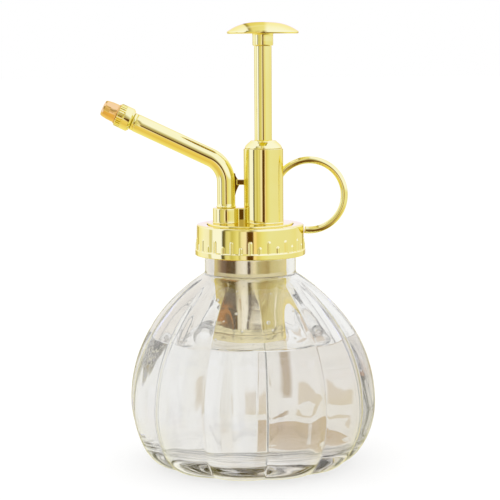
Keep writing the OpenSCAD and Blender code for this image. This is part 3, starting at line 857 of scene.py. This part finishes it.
# ---------------------------------------------------------------- spout tube: one drawn tube with a bend
def spout_path():
    pts, fr = [], []
    Y = Vector((0, 1, 0))
    zs = [86.62, 86.9, 87.5, 88.4, 88.52, 88.65, 88.82, 89.0, 89.15, 89.3, 90, 91.5, 93, 94.5, 96]
    for z in zs:
        pts.append((SX, 0, z)); fr.append((Vector((1, 0, 0)), Y))
    c = Vector((SX - BEND, 0, CORNER - BEND_T))
    for i in range(0, 29):
        a = rad((90 - ARM) * i / 28)
        d = Vector((math.cos(a), 0, math.sin(a)))
        pts.append(tuple(c + d * BEND)); fr.append((d, Y))
    d = Vector((math.sin(rad(ARM)), 0, math.cos(rad(ARM))))
    u = Vector((-math.cos(rad(ARM)), 0, math.sin(rad(ARM))))
    for s in list(np.linspace(BEND_T + 1.5, ARM_LEN - 0.35, 14)) + [ARM_LEN - 0.12, ARM_LEN]:
        pts.append(tuple(Vector((SX, 0, CORNER)) + u * s)); fr.append((d, Y))
    return pts, fr, len(zs)


def build_spout():
    pts, fr, nz = spout_path()
    m = 96
    bead = {88.52: 0.0, 88.65: 0.2, 88.82: 0.3, 89.0: 0.26, 89.15: 0.12, 89.3: 0.02}
    last = len(pts) - 1
    radii = []
    for i, p in enumerate(pts):
        r = 3.1
        if i < nz:
            r += bead.get(round(p[2], 2), 0.0)
        if i == last:
            r = 2.92
        elif i == last - 1:
            r = 3.03
        radii.append(r)
    verts, faces = [], []
    def ringpts(i, r):
        base = len(verts)
        u, v = fr[i]
        for j in range(m):
            a = 2 * math.pi * j / m
            verts.append(tuple(Vector(pts[i]) + u * (r * math.cos(a)) + v * (r * math.sin(a))))
        return base
    outer = [ringpts(i, radii[i]) for i in range(len(pts))]
    inner = [ringpts(i, 2.3) for i in range(len(pts))]
    def skin(a, b, flip=False):
        for j in range(m):
            k = (j + 1) % m
            f = (a + j, a + k, b + k, b + j)
            faces.append(f[::-1] if flip else f)
    for a, b in zip(outer[:-1], outer[1:]): skin(a, b)
    for a, b in zip(inner[:-1], inner[1:]): skin(a, b, True)
    skin(inner[0], outer[0]); skin(outer[-1], inner[-1])
    ob = make("spout_tube_bent", verts, faces, "head", ("spout_tube",), GOLD)
    fix_normals(ob)
    ob.data.set_sharp_from_angle(angle=rad(40))
    return ob


spout = build_spout()


# ---------------------------------------------------------------- brace: a short bar from the barrel, with a gusset that runs down the tube
def build_brace():
    import bmesh
    x0, x1 = SX + 3.1 - 0.4, BX - 6.5
    def slab(poly, half):
        n = len(poly)
        v = [(x, -half, z) for x, z in poly] + [(x, half, z) for x, z in poly]
        f = [tuple(range(n)), tuple(range(n, 2 * n))[::-1]] + [(i, i + n, (i + 1) % n + n, (i + 1) % n)[::-1] for i in range(n)]
        return v, f
    curve = [(SX + 3.1 + w, z) for w, z in ((0.02, 92.8), (0.22, 93.6), (0.5, 94.4), (0.85, 95.2), (1.2, 95.9), (1.5, 96.5))]
    top = [(SX + 3.1 + w, z) for w, z in ((1.45, 97.9), (1.0, 98.2), (0.55, 98.75), (0.2, 99.5), (0.02, 100.3))]
    v, f = slab([(x0, 92.8)] + curve + top + [(x0, 100.3)], 0.95)
    ob = raw("spout_brace_bar", v, f)
    v, f = box_mesh(x0 + 0.9, x1, -1.5, 1.5, 96.3, 98.2, 0.22, 3)
    boolean(ob, raw("t", v, f), "UNION")
    me = ob.data
    for p in me.polygons:
        p.use_smooth = True
    me.set_sharp_from_angle(angle=rad(28))
    me.materials.clear()
    me.materials.append(GOLD_CAST)
    b = ob.modifiers.new("bev", "BEVEL")
    b.width = 0.16 * MM
    b.segments = 3
    b.limit_method = "ANGLE"
    b.angle_limit = rad(40)
    w = ob.modifiers.new("wn", "WEIGHTED_NORMAL")
    w.keep_sharp = False
    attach(ob, "head")
    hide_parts("spout_brace")
    return ob


brace = build_brace()

# ---------------------------------------------------------------- spout end fitting, nozzle nut, tip, in the arm's own frame
L = ARM_LEN


def helix_disp(z0, pitch, turn, a0, half, height):
    def h(a, z):
        best = 0.0
        t = 0
        while a % 360 + 360 * t <= a0 + turn:
            th = a % 360 + 360 * t
            t += 1
            if th < a0:
                continue
            zc = z0 + pitch * (th - a0) / 360
            d = abs(z - zc)
            k = min(1.0, min(th - a0, a0 + turn - th) / 60 + 0.02)
            if d < half:
                best = max(best, height * k * min(1.0, (half - d) / (half * 0.8)))
        return best
    return h


th_out = helix_disp(L + 1.7, 1.0, 990, 0, 0.25, 0.26)
fit = [(1.3, L - 3), (2.2, L - 3), (2.25, L - 2.8), (2.25, L + 0.01), (2.9, L + 0.01), (3.03, L + 0.12), (3.05, L + 0.3), (3.05, L + 0.8), (2.95, L + 1.02), (2.8, L + 1.11), (2.36, L + 1.12)]
k0 = len(fit)
fit += [(2.35, z) for z in np.arange(L + 1.3, L + 5.4, 0.09)]
k1 = len(fit)
fit += [(2.2, L + 5.5), (1.3, L + 5.5)]
v, f = lathe(fit, 96, True, disp=lambda k, a, r, z: (r + th_out(a, z), z) if k0 <= k < k1 else (r, z))
fitting = make("spout_end_fitting_turned", xf(v, ON_ARM), f, "head", ("spout_end_fitting",), GOLD)
fix_normals(fitting)
fitting.data.set_sharp_from_angle(angle=rad(40))


def build_nut():
    teeth, per = 28, 14
    n = teeth * per
    R = 4.05
    prof = rounded([(2.87, L + 1.2, 0.1), (3.35, L + 1.2, 0.15), (R, L + 1.95, 0.25), (R, L + 4.0, 0.0)], 4)
    prof += [(R, L + 4.12), (R - 0.02, L + 4.24)]
    ks = len(prof)
    prof += [(R - 0.04, z) for z in np.linspace(L + 4.32, L + 6.35, 13)]
    ke = len(prof)
    prof += [(R - 0.12, L + 6.48), (R - 0.3, L + 6.6), (R - 0.6, L + 6.68), (3.1, L + 6.7), (3.1, L + 5.42), (2.85, L + 5.38)]
    ki = len(prof)
    th_in = helix_disp(L + 2.2, 1.0, 990, 0, 0.22, 0.38)
    prof += [(2.85, z) for z in np.arange(L + 5.28, L + 1.35, -0.09)]
    def disp(k, a, r, z):
        if ks <= k < ke:
            x = (a / 360 * teeth) % 1.0
            x = abs(x - 0.5) * 2            # 0 mid tooth, 1 mid gap
            t = min(1, max(0, (x - 0.50) / 0.16))
            edge = min(1, (k - ks) / 2.0)
            return r - 0.44 * t * edge, z
        if ke <= k < ke + 2:
            x = abs((a / 360 * teeth) % 1.0 - 0.5) * 2
            t = min(1, max(0, (x - 0.50) / 0.16))
            return r - 0.40 * t * (1 if k == ke else 0.5), z
        if k >= ki:
            return r - th_in(a, z), z
        return r, z
    v, f = lathe(prof, n, True, disp=disp)
    ob = make("nozzle_nut_knurled", xf(v, ON_ARM), f, "nozzle", ("nozzle_nut",), GOLD)
    fix_normals(ob)
    ob.data.set_sharp_from_angle(angle=rad(38))
    return ob


nut = build_nut()

tip_prof = rounded([(2.2, L + 6.72, 0.1), (3.48, L + 6.72, 0.08), (3.48, L + 6.98, 0.1), (3.18, L + 7.15, 0.1), (3.12, L + 9.4, 0.4), (2.86, L + 11.3, 0.4), (2.52, L + 11.95, 0.3), (1.8, L + 12.12, 0.3),
                    (0.75, L + 12.14, 0.05), (0.62, L + 11.98, 0.05), (0.36, L + 11.9, 0.03), (0.35, L + 11.25, 0), (0.9, L + 11.2, 0), (2.2, L + 9.4, 0)], 4)
tip = ring_lathe("nozzle_tip_turned", tip_prof, "nozzle", GOLD_DEEP, ("nozzle_tip",), 128, 0.0, ON_ARM, step=0.8)


# ---------------------------------------------------------------- finger ring: bent wire, cut square at its free end, let into the barrel at the other
def build_ring():
    m = 48
    r = 1.2
    cx, cz, R = 20.2, 92.6, 12.0
    a0, a1 = -97.8, 148.0
    Y = Vector((0, 1, 0))
    path = [(a0, r - 0.22), (a0 + 0.25, r - 0.08), (a0 + 0.9, r)] + [(float(a), r) for a in np.linspace(a0 + 2, a1, 130)]
    verts, faces = [], []
    for a, q in path:
        d = Vector((math.cos(rad(a)), 0, math.sin(rad(a))))
        c = Vector((cx, 0, cz)) + d * R
        for j in range(m):
            b = 2 * math.pi * j / m
            verts.append(tuple(c + d * (q * math.cos(b)) + Y * (q * math.sin(b))))
    k = len(path)
    for i in range(k - 1):
        for j in range(m):
            jj = (j + 1) % m
            faces.append((i * m + j, (i + 1) * m + j, (i + 1) * m + jj, i * m + jj))
    faces.append(tuple(range(m)))
    faces.append(tuple((k - 1) * m + j for j in range(m))[::-1])
    ob = raw("finger_ring_wire", verts, faces)
    v, f = lathe([(0, 90), (6.6, 90), (6.6, 112), (0, 112)], 128, cx=BX)
    boolean(ob, raw("t", v, f), "DIFFERENCE")
    for p in ob.data.polygons:
        p.use_smooth = True
    ob.data.set_sharp_from_angle(angle=rad(40))
    ob.data.materials.clear()
    ob.data.materials.append(GOLD)
    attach(ob, "head")
    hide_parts("finger_ring")
    return ob


ring = build_ring()

# ---------------------------------------------------------------- pump housing seen through the glass
hp = rounded([(12.4, 45.95, 0.1), (12.4, 79.85, 0.1), (11.4, 79.85, 0.05), (11.4, 45.95, 0.05)], 3)
housing = ring_lathe("inner_housing_tube", hp, "head", GOLD_IN, ("inner_housing",), 160, 0.0, None, step=1.5)
ep = rounded([(0, 42.42), (11.7, 42.42, 0.35), (12.38, 43.1, 0.3), (12.38, 45.86, 0.12), (11.33, 45.88, 0.05), (11.33, 46.95, 0.1), (0, 46.95)], 4)
ep = [(0, 42.42), (4, 42.42), (8, 42.42)] + [p for p in ep if p[0] > 1e-6] + [(6, 46.95), (0, 46.95)]
v, f = lathe(ep, 160)
endcap = raw("housing_end_cap_turned", v, f)
v, f = lathe([(0, 40), (2.6, 40), (2.6, 50), (0, 50)], 64, cx=BX)
boolean(endcap, raw("t", v, f), "DIFFERENCE")
for p in endcap.data.polygons:
    p.use_smooth = True
endcap.data.set_sharp_from_angle(angle=rad(35))
endcap.data.materials.clear()
endcap.data.materials.append(GOLD_IN)
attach(endcap, "head"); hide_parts("housing_end_cap")


# dip tube, cut at an angle at its foot
def build_dip():
    m = 64
    verts, faces = [], []
    def ringp(r, zf):
        b = len(verts)
        for j in range(m):
            a = 2 * math.pi * j / m
            x, y = r * math.cos(a), r * math.sin(a)
            verts.append((BX + x, y, zf(x)))
        return b
    cut = lambda x: 9.5 - x * math.tan(rad(30)) * 1.0
    zs = [14, 20, 26, 32, 38, 44, 50.98]
    o = [ringp(2.48, cut)] + [ringp(2.48, lambda x, z=z: z) for z in zs]
    i_ = [ringp(1.72, cut)] + [ringp(1.72, lambda x, z=z: z) for z in zs]
    def skin(a, b):
        for j in range(m):
            k = (j + 1) % m
            faces.append((a + j, a + k, b + k, b + j))
    for a, b in zip(o[:-1], o[1:]): skin(a, b)
    for a, b in zip(i_[:-1], i_[1:]): skin(b, a)
    skin(i_[0], o[0]); skin(o[-1], i_[-1])
    ob = make("dip_tube_cut", verts, faces, "head", ("dip_tube",), TUBE)
    fix_normals(ob)
    ob.data.set_sharp_from_angle(angle=rad(40))
    return ob


dip = build_dip()


# ---------------------------------------------------------------- return spring: round wire with closed ends, squashed by the plunger
def build_spring():
    coils, wr, R = 11.5, 0.4, 4.15
    z0, z1 = 58.05 + wr, 99.4 - wr
    n, m = int(coils * 40), 12
    verts, faces = [], []
    for j in range(n + 1):
        q = j / n * coils
        t = max(0, min(1, (q - 1) / (coils - 2)))
        z = z0 + 2 * wr * min(1, q) + (z1 - z0 - 4 * wr) * t + 2 * wr * max(0, q - coils + 1)
        a = 2 * math.pi * q
        for i in range(m):
            b = 2 * math.pi * i / m
            r = R + wr * math.cos(b)
            verts.append((BX + r * math.cos(a), r * math.sin(a), z + wr * 0.95 * math.sin(b)))
    for j in range(n):
        for i in range(m):
            k = (i + 1) % m
            faces.append((j * m + i, j * m + k, (j + 1) * m + k, (j + 1) * m + i))
    faces.append(tuple(range(m))[::-1])
    faces.append(tuple(n * m + i for i in range(m)))
    ob = make("return_spring_coil", verts, faces, "head", ("return_spring",), STEEL)
    fix_normals(ob)
    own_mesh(ob)
    return ob


spring = build_spring()

# ---------------------------------------------------------------- inner parts that keep their CAD shape: smooth shading and their own finishes
CARRY = {"neck_gasket": RUBBER, "rod_seal": RUBBER, "spout_seal": RUBBER, "nozzle_gasket": RUBBER, "piston_seal": RUBBER,
         "cylinder_liner": STEEL, "inlet_ball": STEEL, "outlet_ball": STEEL, "piston_nut": STEEL,
         "valve_body": ACETAL, "inlet_cage": ACETAL, "riser_tube": ACETAL, "outlet_seat": ACETAL, "outlet_cage": ACETAL,
         "swirl_core": ACETAL, "piston": ACETAL}
for name, mat in CARRY.items():
    ob = N[name]
    ob.data.materials.clear()
    ob.data.materials.append(mat)
    for p in ob.data.polygons:
        p.use_smooth = True
        p.material_index = 0
    w = ob.modifiers.new("weld", "WELD")
    w.merge_threshold = 1e-6
    bv = ob.modifiers.new("edge", "BEVEL")
    bv.width = 0.00008
    bv.segments = 2
    bv.limit_method = "ANGLE"
    bv.angle_limit = rad(40)
    if hasattr(bv, "harden_normals"):
        bv.harden_normals = True

# ================================================================ stage
class Net:
    """Small helpers that wire up maths on a direction."""
    def __init__(self, nt, vec, sign=1.0):
        self.nt = nt
        sep = node(nt, "ShaderNodeSeparateXYZ")
        link(nt, vec, sep.inputs[0])
        X, Y, Z = [self.math("MULTIPLY", sep.outputs[k], sign) for k in "XYZ"]
        self.x, self.y, self.z = X, Y, Z
        # azimuth: 0 towards the camera (-Y), + towards +X; mapped to 0..1 over -180..180
        az = self.math("ARCTAN2", X, self.math("MULTIPLY", Y, -1.0))
        self.az = self.math("ADD", self.math("MULTIPLY", az, 1 / (2 * math.pi)), 0.5)
        self.el = self.math("ADD", self.math("MULTIPLY", self.math("ARCSINE", Z), 1 / math.pi), 0.5)
        roll = self.math("ARCTAN2", X, Z)
        self.roll = self.math("ADD", self.math("MULTIPLY", roll, 1 / (2 * math.pi)), 0.5)
        nz = node(nt, "ShaderNodeTexNoise", i_Scale=3.2, i_Detail=2.0, i_Roughness=0.55)
        cmb = node(nt, "ShaderNodeCombineXYZ")
        for k, v in zip("XYZ", (X, Y, Z)):
            link(nt, v, cmb.inputs[k])
        link(nt, cmb.outputs[0], nz.inputs["Vector"])
        self.noise = self.math("SUBTRACT", nz.outputs["Fac"], 0.5)

    def math(self, op, a, b=None, c=None):
        n = node(self.nt, "ShaderNodeMath", operation=op)
        for i, v in enumerate((a, b, c)):
            if v is None:
                continue
            if isinstance(v, (int, float)):
                n.inputs[i].default_value = v
            else:
                link(self.nt, v, n.inputs[i])
        return n.outputs[0]

    def mix(self, fac, a, b):
        n = node(self.nt, "ShaderNodeMix", data_type="RGBA")
        link(self.nt, fac, n.inputs["Factor"])
        for key, v in (("A", a), ("B", b)):
            if isinstance(v, tuple):
                n.inputs[key].default_value = (*v, 1)
            else:
                link(self.nt, v, n.inputs[key])
        return n.outputs["Result"]

    def step(self, v, lo, hi):
        n = node(self.nt, "ShaderNodeMapRange", interpolation_type="SMOOTHSTEP")
        link(self.nt, v, n.inputs["Value"])
        n.inputs["From Min"].default_value, n.inputs["From Max"].default_value = lo, hi
        return n.outputs["Result"]

    def azramp(self, stops):
        return ramp(self.nt, self.az, [((a + 180) / 360.0, c if isinstance(c, tuple) else (c, c, c)) for a, c in stops]).outputs["Color"]

    def elstep(self, lo, hi):
        return self.step(self.el, (lo + 90) / 180.0, (hi + 90) / 180.0)

    def patch(self, az, el, inner, outer, rag=0.0):
        """1 inside a disc of sky about a direction, falling to 0 at its outer radius (degrees); rag makes the edge uneven."""
        d = (math.sin(rad(az)) * math.cos(rad(el)), -math.cos(rad(az)) * math.cos(rad(el)), math.sin(rad(el)))
        t = self.math("MULTIPLY", self.x, d[0])
        t = self.math("MULTIPLY_ADD", self.y, d[1], t)
        t = self.math("MULTIPLY_ADD", self.z, d[2], t)
        if rag:
            t = self.math("MULTIPLY_ADD", self.noise, rag, t)
        return self.step(t, math.cos(rad(outer)), math.cos(rad(inner)))


W = (1.06, 1.11, 2.5)          # the big lights: a touch cool, so that gold plate goes to cream


def seen_in_metal(h):
    """The studio as polished plating sees it."""
    hor = h.azramp([
        (-180, (1.0, 1.0, 1.4)), (-150, (0.95, 0.95, 1.2)), (-138, (1.02, 1.04, 1.8)), (-120, (1.04, 1.08, 2.1)), (-100, (1.0, 1.0, 1.9)), (-96, (0.74, 0.70, 0.70)), (-90, (0.74, 0.74, 1.0)),
        (-87, W), (-64, W), (-61.5, (0.10, 0.08, 0.05)), (-56, (0.20, 0.17, 0.12)), (-53, (0.75, 0.70, 0.60)), (-46, (0.85, 0.80, 0.75)), (-40, (0.63, 0.57, 0.30)), (-33, (0.76, 0.70, 0.48)),
        (-26, (0.92, 0.88, 0.78)), (-22, (0.56, 0.50, 0.36)), (-18.5, (0.95, 0.90, 1.2)), (-9, (1.03, 0.93, 1.5)), (-6.5, (0.22, 0.10, 0.03)), (-4, (0.10, 0.045, 0.01)), (5.5, (0.13, 0.05, 0.01)),
        (8, (1.04, 0.84, 0.85)), (12, (1.0, 0.80, 0.75)), (15, (0.80, 0.69, 0.45)), (26, (0.89, 0.86, 0.72)), (40, (0.90, 0.90, 1.05)), (88, (0.90, 0.88, 1.0)), (112, (0.90, 0.86, 0.85)),
        (140, (0.95, 0.95, 1.5)), (180, (1.0, 1.0, 1.4))])
    # gaps between the panels behind the object: from the front they only line the edges of round parts
    for a0, a1, col in ((149.0, 155.0, (0.34, 0.26, 0.10)), (166.0, 169.0, (0.20, 0.12, 0.04)), (-177.0, -173.0, (0.62, 0.54, 0.34)), (-161.0, -157.0, (0.30, 0.22, 0.08)), (-151.0, -146.0, (0.50, 0.40, 0.22))):
        A0, A1, e = (a0 + 180) / 360.0, (a1 + 180) / 360.0, 1.2 / 360.0
        hor = h.mix(h.math("MULTIPLY", h.step(h.az, A0 - e, A0 + e), h.step(h.az, A1 + e, A1 - e)), hor, col)
    high = h.azramp([
        (-180, W), (-62, W), (-58, (0.30, 0.26, 0.18)), (-44, (0.60, 0.55, 0.40)), (-30, (0.85, 0.78, 0.60)), (-14, (0.70, 0.62, 0.55)), (-6, (0.90, 0.84, 1.0)), (2, (0.42, 0.34, 0.30)),
        (10, (0.75, 0.74, 1.1)), (17, W), (180, W)])
    low = h.azramp([
        (-180, (1.0, 1.0, 1.2)), (-140, (1.0, 1.0, 1.1)), (-100, (0.95, 0.86, 0.70)), (-62, (0.78, 0.60, 0.36)), (-30, (0.90, 0.68, 0.34)), (-10, (0.92, 0.74, 0.44)), (-4, (0.45, 0.28, 0.12)),
        (2, (0.16, 0.07, 0.02)), (17, (0.20, 0.09, 0.03)), (32, (0.55, 0.40, 0.18)), (70, (0.85, 0.74, 0.5)), (130, (1.0, 0.97, 0.9)), (180, (1.0, 1.0, 1.2))])
    under = h.azramp([
        (-180, (1.0, 0.95, 0.85)), (-140, (0.98, 0.88, 0.66)), (-60, (0.92, 0.74, 0.42)), (-30, (0.80, 0.58, 0.26)), (-8, (0.22, 0.12, 0.03)), (90, (0.20, 0.12, 0.03)), (130, (0.6, 0.45, 0.2)), (180, (1.0, 0.95, 0.85))])
    top = ramp(h.nt, h.roll, [((a + 180) / 360.0, c) for a, c in (
        (-90, W), (-17, W), (-15.5, (0.42, 0.36, 0.30)), (-13.5, (0.50, 0.44, 0.34)), (-12, (0.86, 0.80, 0.70)), (1.5, (0.92, 0.90, 1.0)), (5, W), (90, W))]).outputs["Color"]
    c = h.mix(h.elstep(-2, 5), hor, high)
    c = h.mix(h.elstep(12, 18), c, h.mix(h.step(h.y, 0.55, 0.75), c, top))
    c = h.mix(h.elstep(42, 56), c, top)
    c = h.mix(h.elstep(-13, -24), c, low)
    return h.mix(h.elstep(-42, -58), c, under)


def seen_through_glass(h, pos=None):
    """The room as glass and water pass it on: light grey, cooler on the right and warmer on the left, with a few warm shapes lying
    low behind the bottle; and, in front, what the brass housing inside mirrors back."""
    c = h.azramp([
        (-180, (0.86, 0.84, 0.79)), (-160, (0.83, 0.79, 0.72)), (-140, (0.76, 0.72, 0.66)), (-110, (0.68, 0.64, 0.58)), (-60, (0.74, 0.71, 0.66)), (0, (0.86, 0.85, 0.82)),
        (60, (0.86, 0.85, 0.82)), (110, (0.84, 0.83, 0.80)), (140, (0.92, 0.92, 0.90)), (165, (0.93, 0.93, 0.91)), (180, (0.86, 0.84, 0.79))])
    c = h.mix(h.elstep(-42, -54), c, (0.98, 0.98, 0.97))
    brass = h.azramp([
        (-125, (0.84, 0.80, 0.74)), (-112, (0.62, 0.50, 0.40)), (-96, (0.46, 0.19, 0.0)), (-54, (0.46, 0.175, 0.0)), (-45, (0.45, 0.25, 0.10)), (-36, (0.86, 0.84, 0.95)), (-20, (1.04, 1.08, 1.4)),
        (24, (1.05, 1.06, 1.25)), (34, (0.80, 0.77, 0.60)), (56, (0.72, 0.69, 0.47)), (72, (0.76, 0.73, 0.53)), (83, (0.88, 0.88, 0.80)), (93, (1.05, 1.08, 1.3)), (130, (1.1, 1.12, 1.35))])
    neck = h.azramp([
        (-125, (0.78, 0.72, 0.64)), (-112, (0.50, 0.40, 0.30)), (-95, (0.20, 0.11, 0.04)), (-60, (0.055, 0.025, 0.0)), (-48, (0.09, 0.05, 0.02)), (-40, (0.9, 0.88, 1.0)), (-18, (1.05, 1.08, 1.4)),
        (-10, (0.9, 0.9, 1.1)), (-7, (0.05, 0.02, 0.01)), (-2, (0.08, 0.045, 0.02)), (3, (0.85, 0.80, 0.8)), (14, (0.95, 0.92, 0.82)), (24, (0.52, 0.49, 0.31)), (40, (0.56, 0.46, 0.24)),
        (54, (0.42, 0.33, 0.13)), (66, (0.70, 0.64, 0.40)), (92, (0.74, 0.71, 0.50)), (112, (0.85, 0.82, 0.66)), (130, (0.98, 0.98, 1.0))])
    brass = h.mix(h.elstep(-10.5, -8.8), brass, neck)
    side = h.math("MULTIPLY", h.step(h.math("ABSOLUTE", h.math("SUBTRACT", h.az, 0.5)), 128 / 360.0, 112 / 360.0), h.math("MULTIPLY", h.elstep(-25, -19), h.elstep(0, -4)))
    lp = node(h.nt, "ShaderNodeLightPath")
    inside = h.math("MULTIPLY", h.math("GREATER_THAN", lp.outputs["Glossy Depth"], 0.5), h.math("GREATER_THAN", lp.outputs["Transmission Depth"], 3.5))
    c = h.mix(h.math("MULTIPLY", side, inside), c, brass)
    if pos is not None:
        # warm shapes on the table behind: (azimuth span, distance span in metres, colour)
        sep = node(h.nt, "ShaderNodeSeparateXYZ")
        link(h.nt, pos, sep.inputs[0])
        nz = node(h.nt, "ShaderNodeTexNoise", i_Scale=60.0, i_Detail=3.0, i_Roughness=0.6)
        link(h.nt, pos, nz.inputs["Vector"])
        rag = h.math("SUBTRACT", nz.outputs["Fac"], 0.5)
        near = h.step(sep.outputs["X"], -0.115, -0.095)
        y = h.math("MULTIPLY_ADD", rag, 0.012, sep.outputs["Y"])
        for a0, a1, y0, y1, col in ((-174.5, -156.0, 0.037, 0.074, (0.58, 0.45, 0.30)), (-168.5, -157.0, 0.110, 0.130, (0.70, 0.61, 0.47)), (-175.0, -172.0, 0.098, 0.116, (0.50, 0.40, 0.28)),
                                    (171.0, 173.5, 0.112, 0.150, (0.74, 0.68, 0.58)), (176.0, 181.0, 0.0, 0.022, (0.5, 0.32, 0.16)), (-181.0, -179.0, 0.0, 0.022, (0.5, 0.32, 0.16))):
            A0, A1 = (a0 + 180) / 360.0, (a1 + 180) / 360.0
            e = 0.9 / 360.0
            m = h.math("MULTIPLY", h.step(h.az, A0 - e, A0 + e), h.step(h.az, A1 + e, A1 - e))
            m = h.math("MULTIPLY", m, h.math("MULTIPLY", h.step(y, y0 - 0.0015, y0 + 0.0015), h.step(y, y1 + 0.0015, y1 - 0.0015)))
            m = h.math("MULTIPLY", m, near)
            c = h.mix(m, c, col)
    return c


def build_stage():
    me = bpy.data.meshes.new("floor")
    s = 6.0
    me.from_pydata([(-s, -s, -0.00004), (s, -s, -0.00004), (s, s, -0.00004), (-s, s, -0.00004)], [], [(0, 1, 2, 3)])
    ob = bpy.data.objects.new("floor", me)
    bpy.context.scene.collection.objects.link(ob)
    m, nt = new_mat("pale_floor")
    out = node(nt, "ShaderNodeOutputMaterial")
    d = node(nt, "ShaderNodeBsdfDiffuse")
    d.inputs["Color"].default_value = (0.86, 0.86, 0.85, 1)
    geo = node(nt, "ShaderNodeNewGeometry")
    h = Net(nt, geo.outputs["Incoming"], -1.0)
    # Seen through glass and water the sheet is not lit. It glows with the room picture of seen_through_glass, which is
    # painted light. That glow also supplies the painted dark and light bands that the brass housing inside mirrors
    # back.
    em = node(nt, "ShaderNodeEmission")
    link(nt, seen_through_glass(h, geo.outputs["Position"]), em.inputs["Color"])
    lp = node(nt, "ShaderNodeLightPath")
    mx = node(nt, "ShaderNodeMixShader")
    link(nt, lp.outputs["Is Transmission Ray"], mx.inputs["Fac"])
    # seen directly the sheet is overexposed white, with only a trace of the shade under the bottle
    white = node(nt, "ShaderNodeEmission", i_Strength=1.04)
    fade = node(nt, "ShaderNodeMixShader")
    fac = node(nt, "ShaderNodeMath", operation="MULTIPLY")
    fac.inputs[1].default_value = 0.66
    link(nt, lp.outputs["Is Camera Ray"], fac.inputs[0])
    link(nt, fac.outputs[0], fade.inputs["Fac"])
    link(nt, d.outputs["BSDF"], fade.inputs[1])
    link(nt, white.outputs["Emission"], fade.inputs[2])
    link(nt, fade.outputs["Shader"], mx.inputs[1])
    link(nt, em.outputs["Emission"], mx.inputs[2])
    link(nt, mx.outputs["Shader"], out.inputs["Surface"])
    me.materials.append(m)
    ob.visible_glossy = False
    return ob


floor = build_stage()


def build_world():
    w = bpy.data.worlds.new("studio")
    bpy.context.scene.world = w
    w.use_nodes = True
    w.cycles.sampling_method = "NONE"
    nt = w.node_tree
    nt.nodes.clear()
    out = node(nt, "ShaderNodeOutputWorld")
    bg = node(nt, "ShaderNodeBackground")
    tc = node(nt, "ShaderNodeTexCoord")
    h = Net(nt, tc.outputs["Generated"])
    lp = node(nt, "ShaderNodeLightPath")
    c = h.mix(lp.outputs["Is Transmission Ray"], seen_in_metal(h), seen_through_glass(h))
    # light on matt surfaces, and the backdrop: plain white studio light
    c = h.mix(lp.outputs["Is Diffuse Ray"], c, (1.25, 1.25, 1.25))
    c = h.mix(lp.outputs["Is Camera Ray"], c, (1.0, 1.0, 1.0))
    link(nt, c, bg.inputs["Color"])
    link(nt, bg.outputs["Background"], out.inputs["Surface"])


build_world()

# one large soft lamp over the left shoulder for a little direction on the floor
ld = bpy.data.lights.new("key", "AREA")
ld.shape = "RECTANGLE"
ld.size, ld.size_y = 0.9, 0.9
ld.energy = 2.0
lo = bpy.data.objects.new("key", ld)
lo.location = (-0.7, -0.55, 1.05)
lo.rotation_euler = (Vector((0, 0, 0.07)) - Vector(lo.location)).to_track_quat("-Z", "Y").to_euler()
bpy.context.scene.collection.objects.link(lo)
lo.visible_glossy = False
lo.visible_transmission = False

ROLL = -0.35
cam = bpy.data.cameras.new("camera")
cam.lens = 1677.8 / 500 * 36
cam.sensor_width = 36
cam.clip_start, cam.clip_end = 0.01, 30
cam.shift_x = -0.3 / 500
co = bpy.data.objects.new("camera", cam)
co.location = (0, -0.5708, 0.1449)
co.rotation_mode = "QUATERNION"
co.rotation_quaternion = (Matrix.Rotation(rad(90 - 7.10), 3, "X") @ Matrix.Rotation(rad(ROLL), 3, "Z")).to_quaternion()
bpy.context.scene.collection.objects.link(co)
bpy.context.scene.camera = co

sc = bpy.context.scene
sc.view_settings.view_transform = "Standard"
sc.view_settings.look = "None"
sc.view_settings.exposure = 0.0
sc.cycles.transmission_bounces = 20
sc.cycles.max_bounces = 28
sc.cycles.glossy_bounces = 20
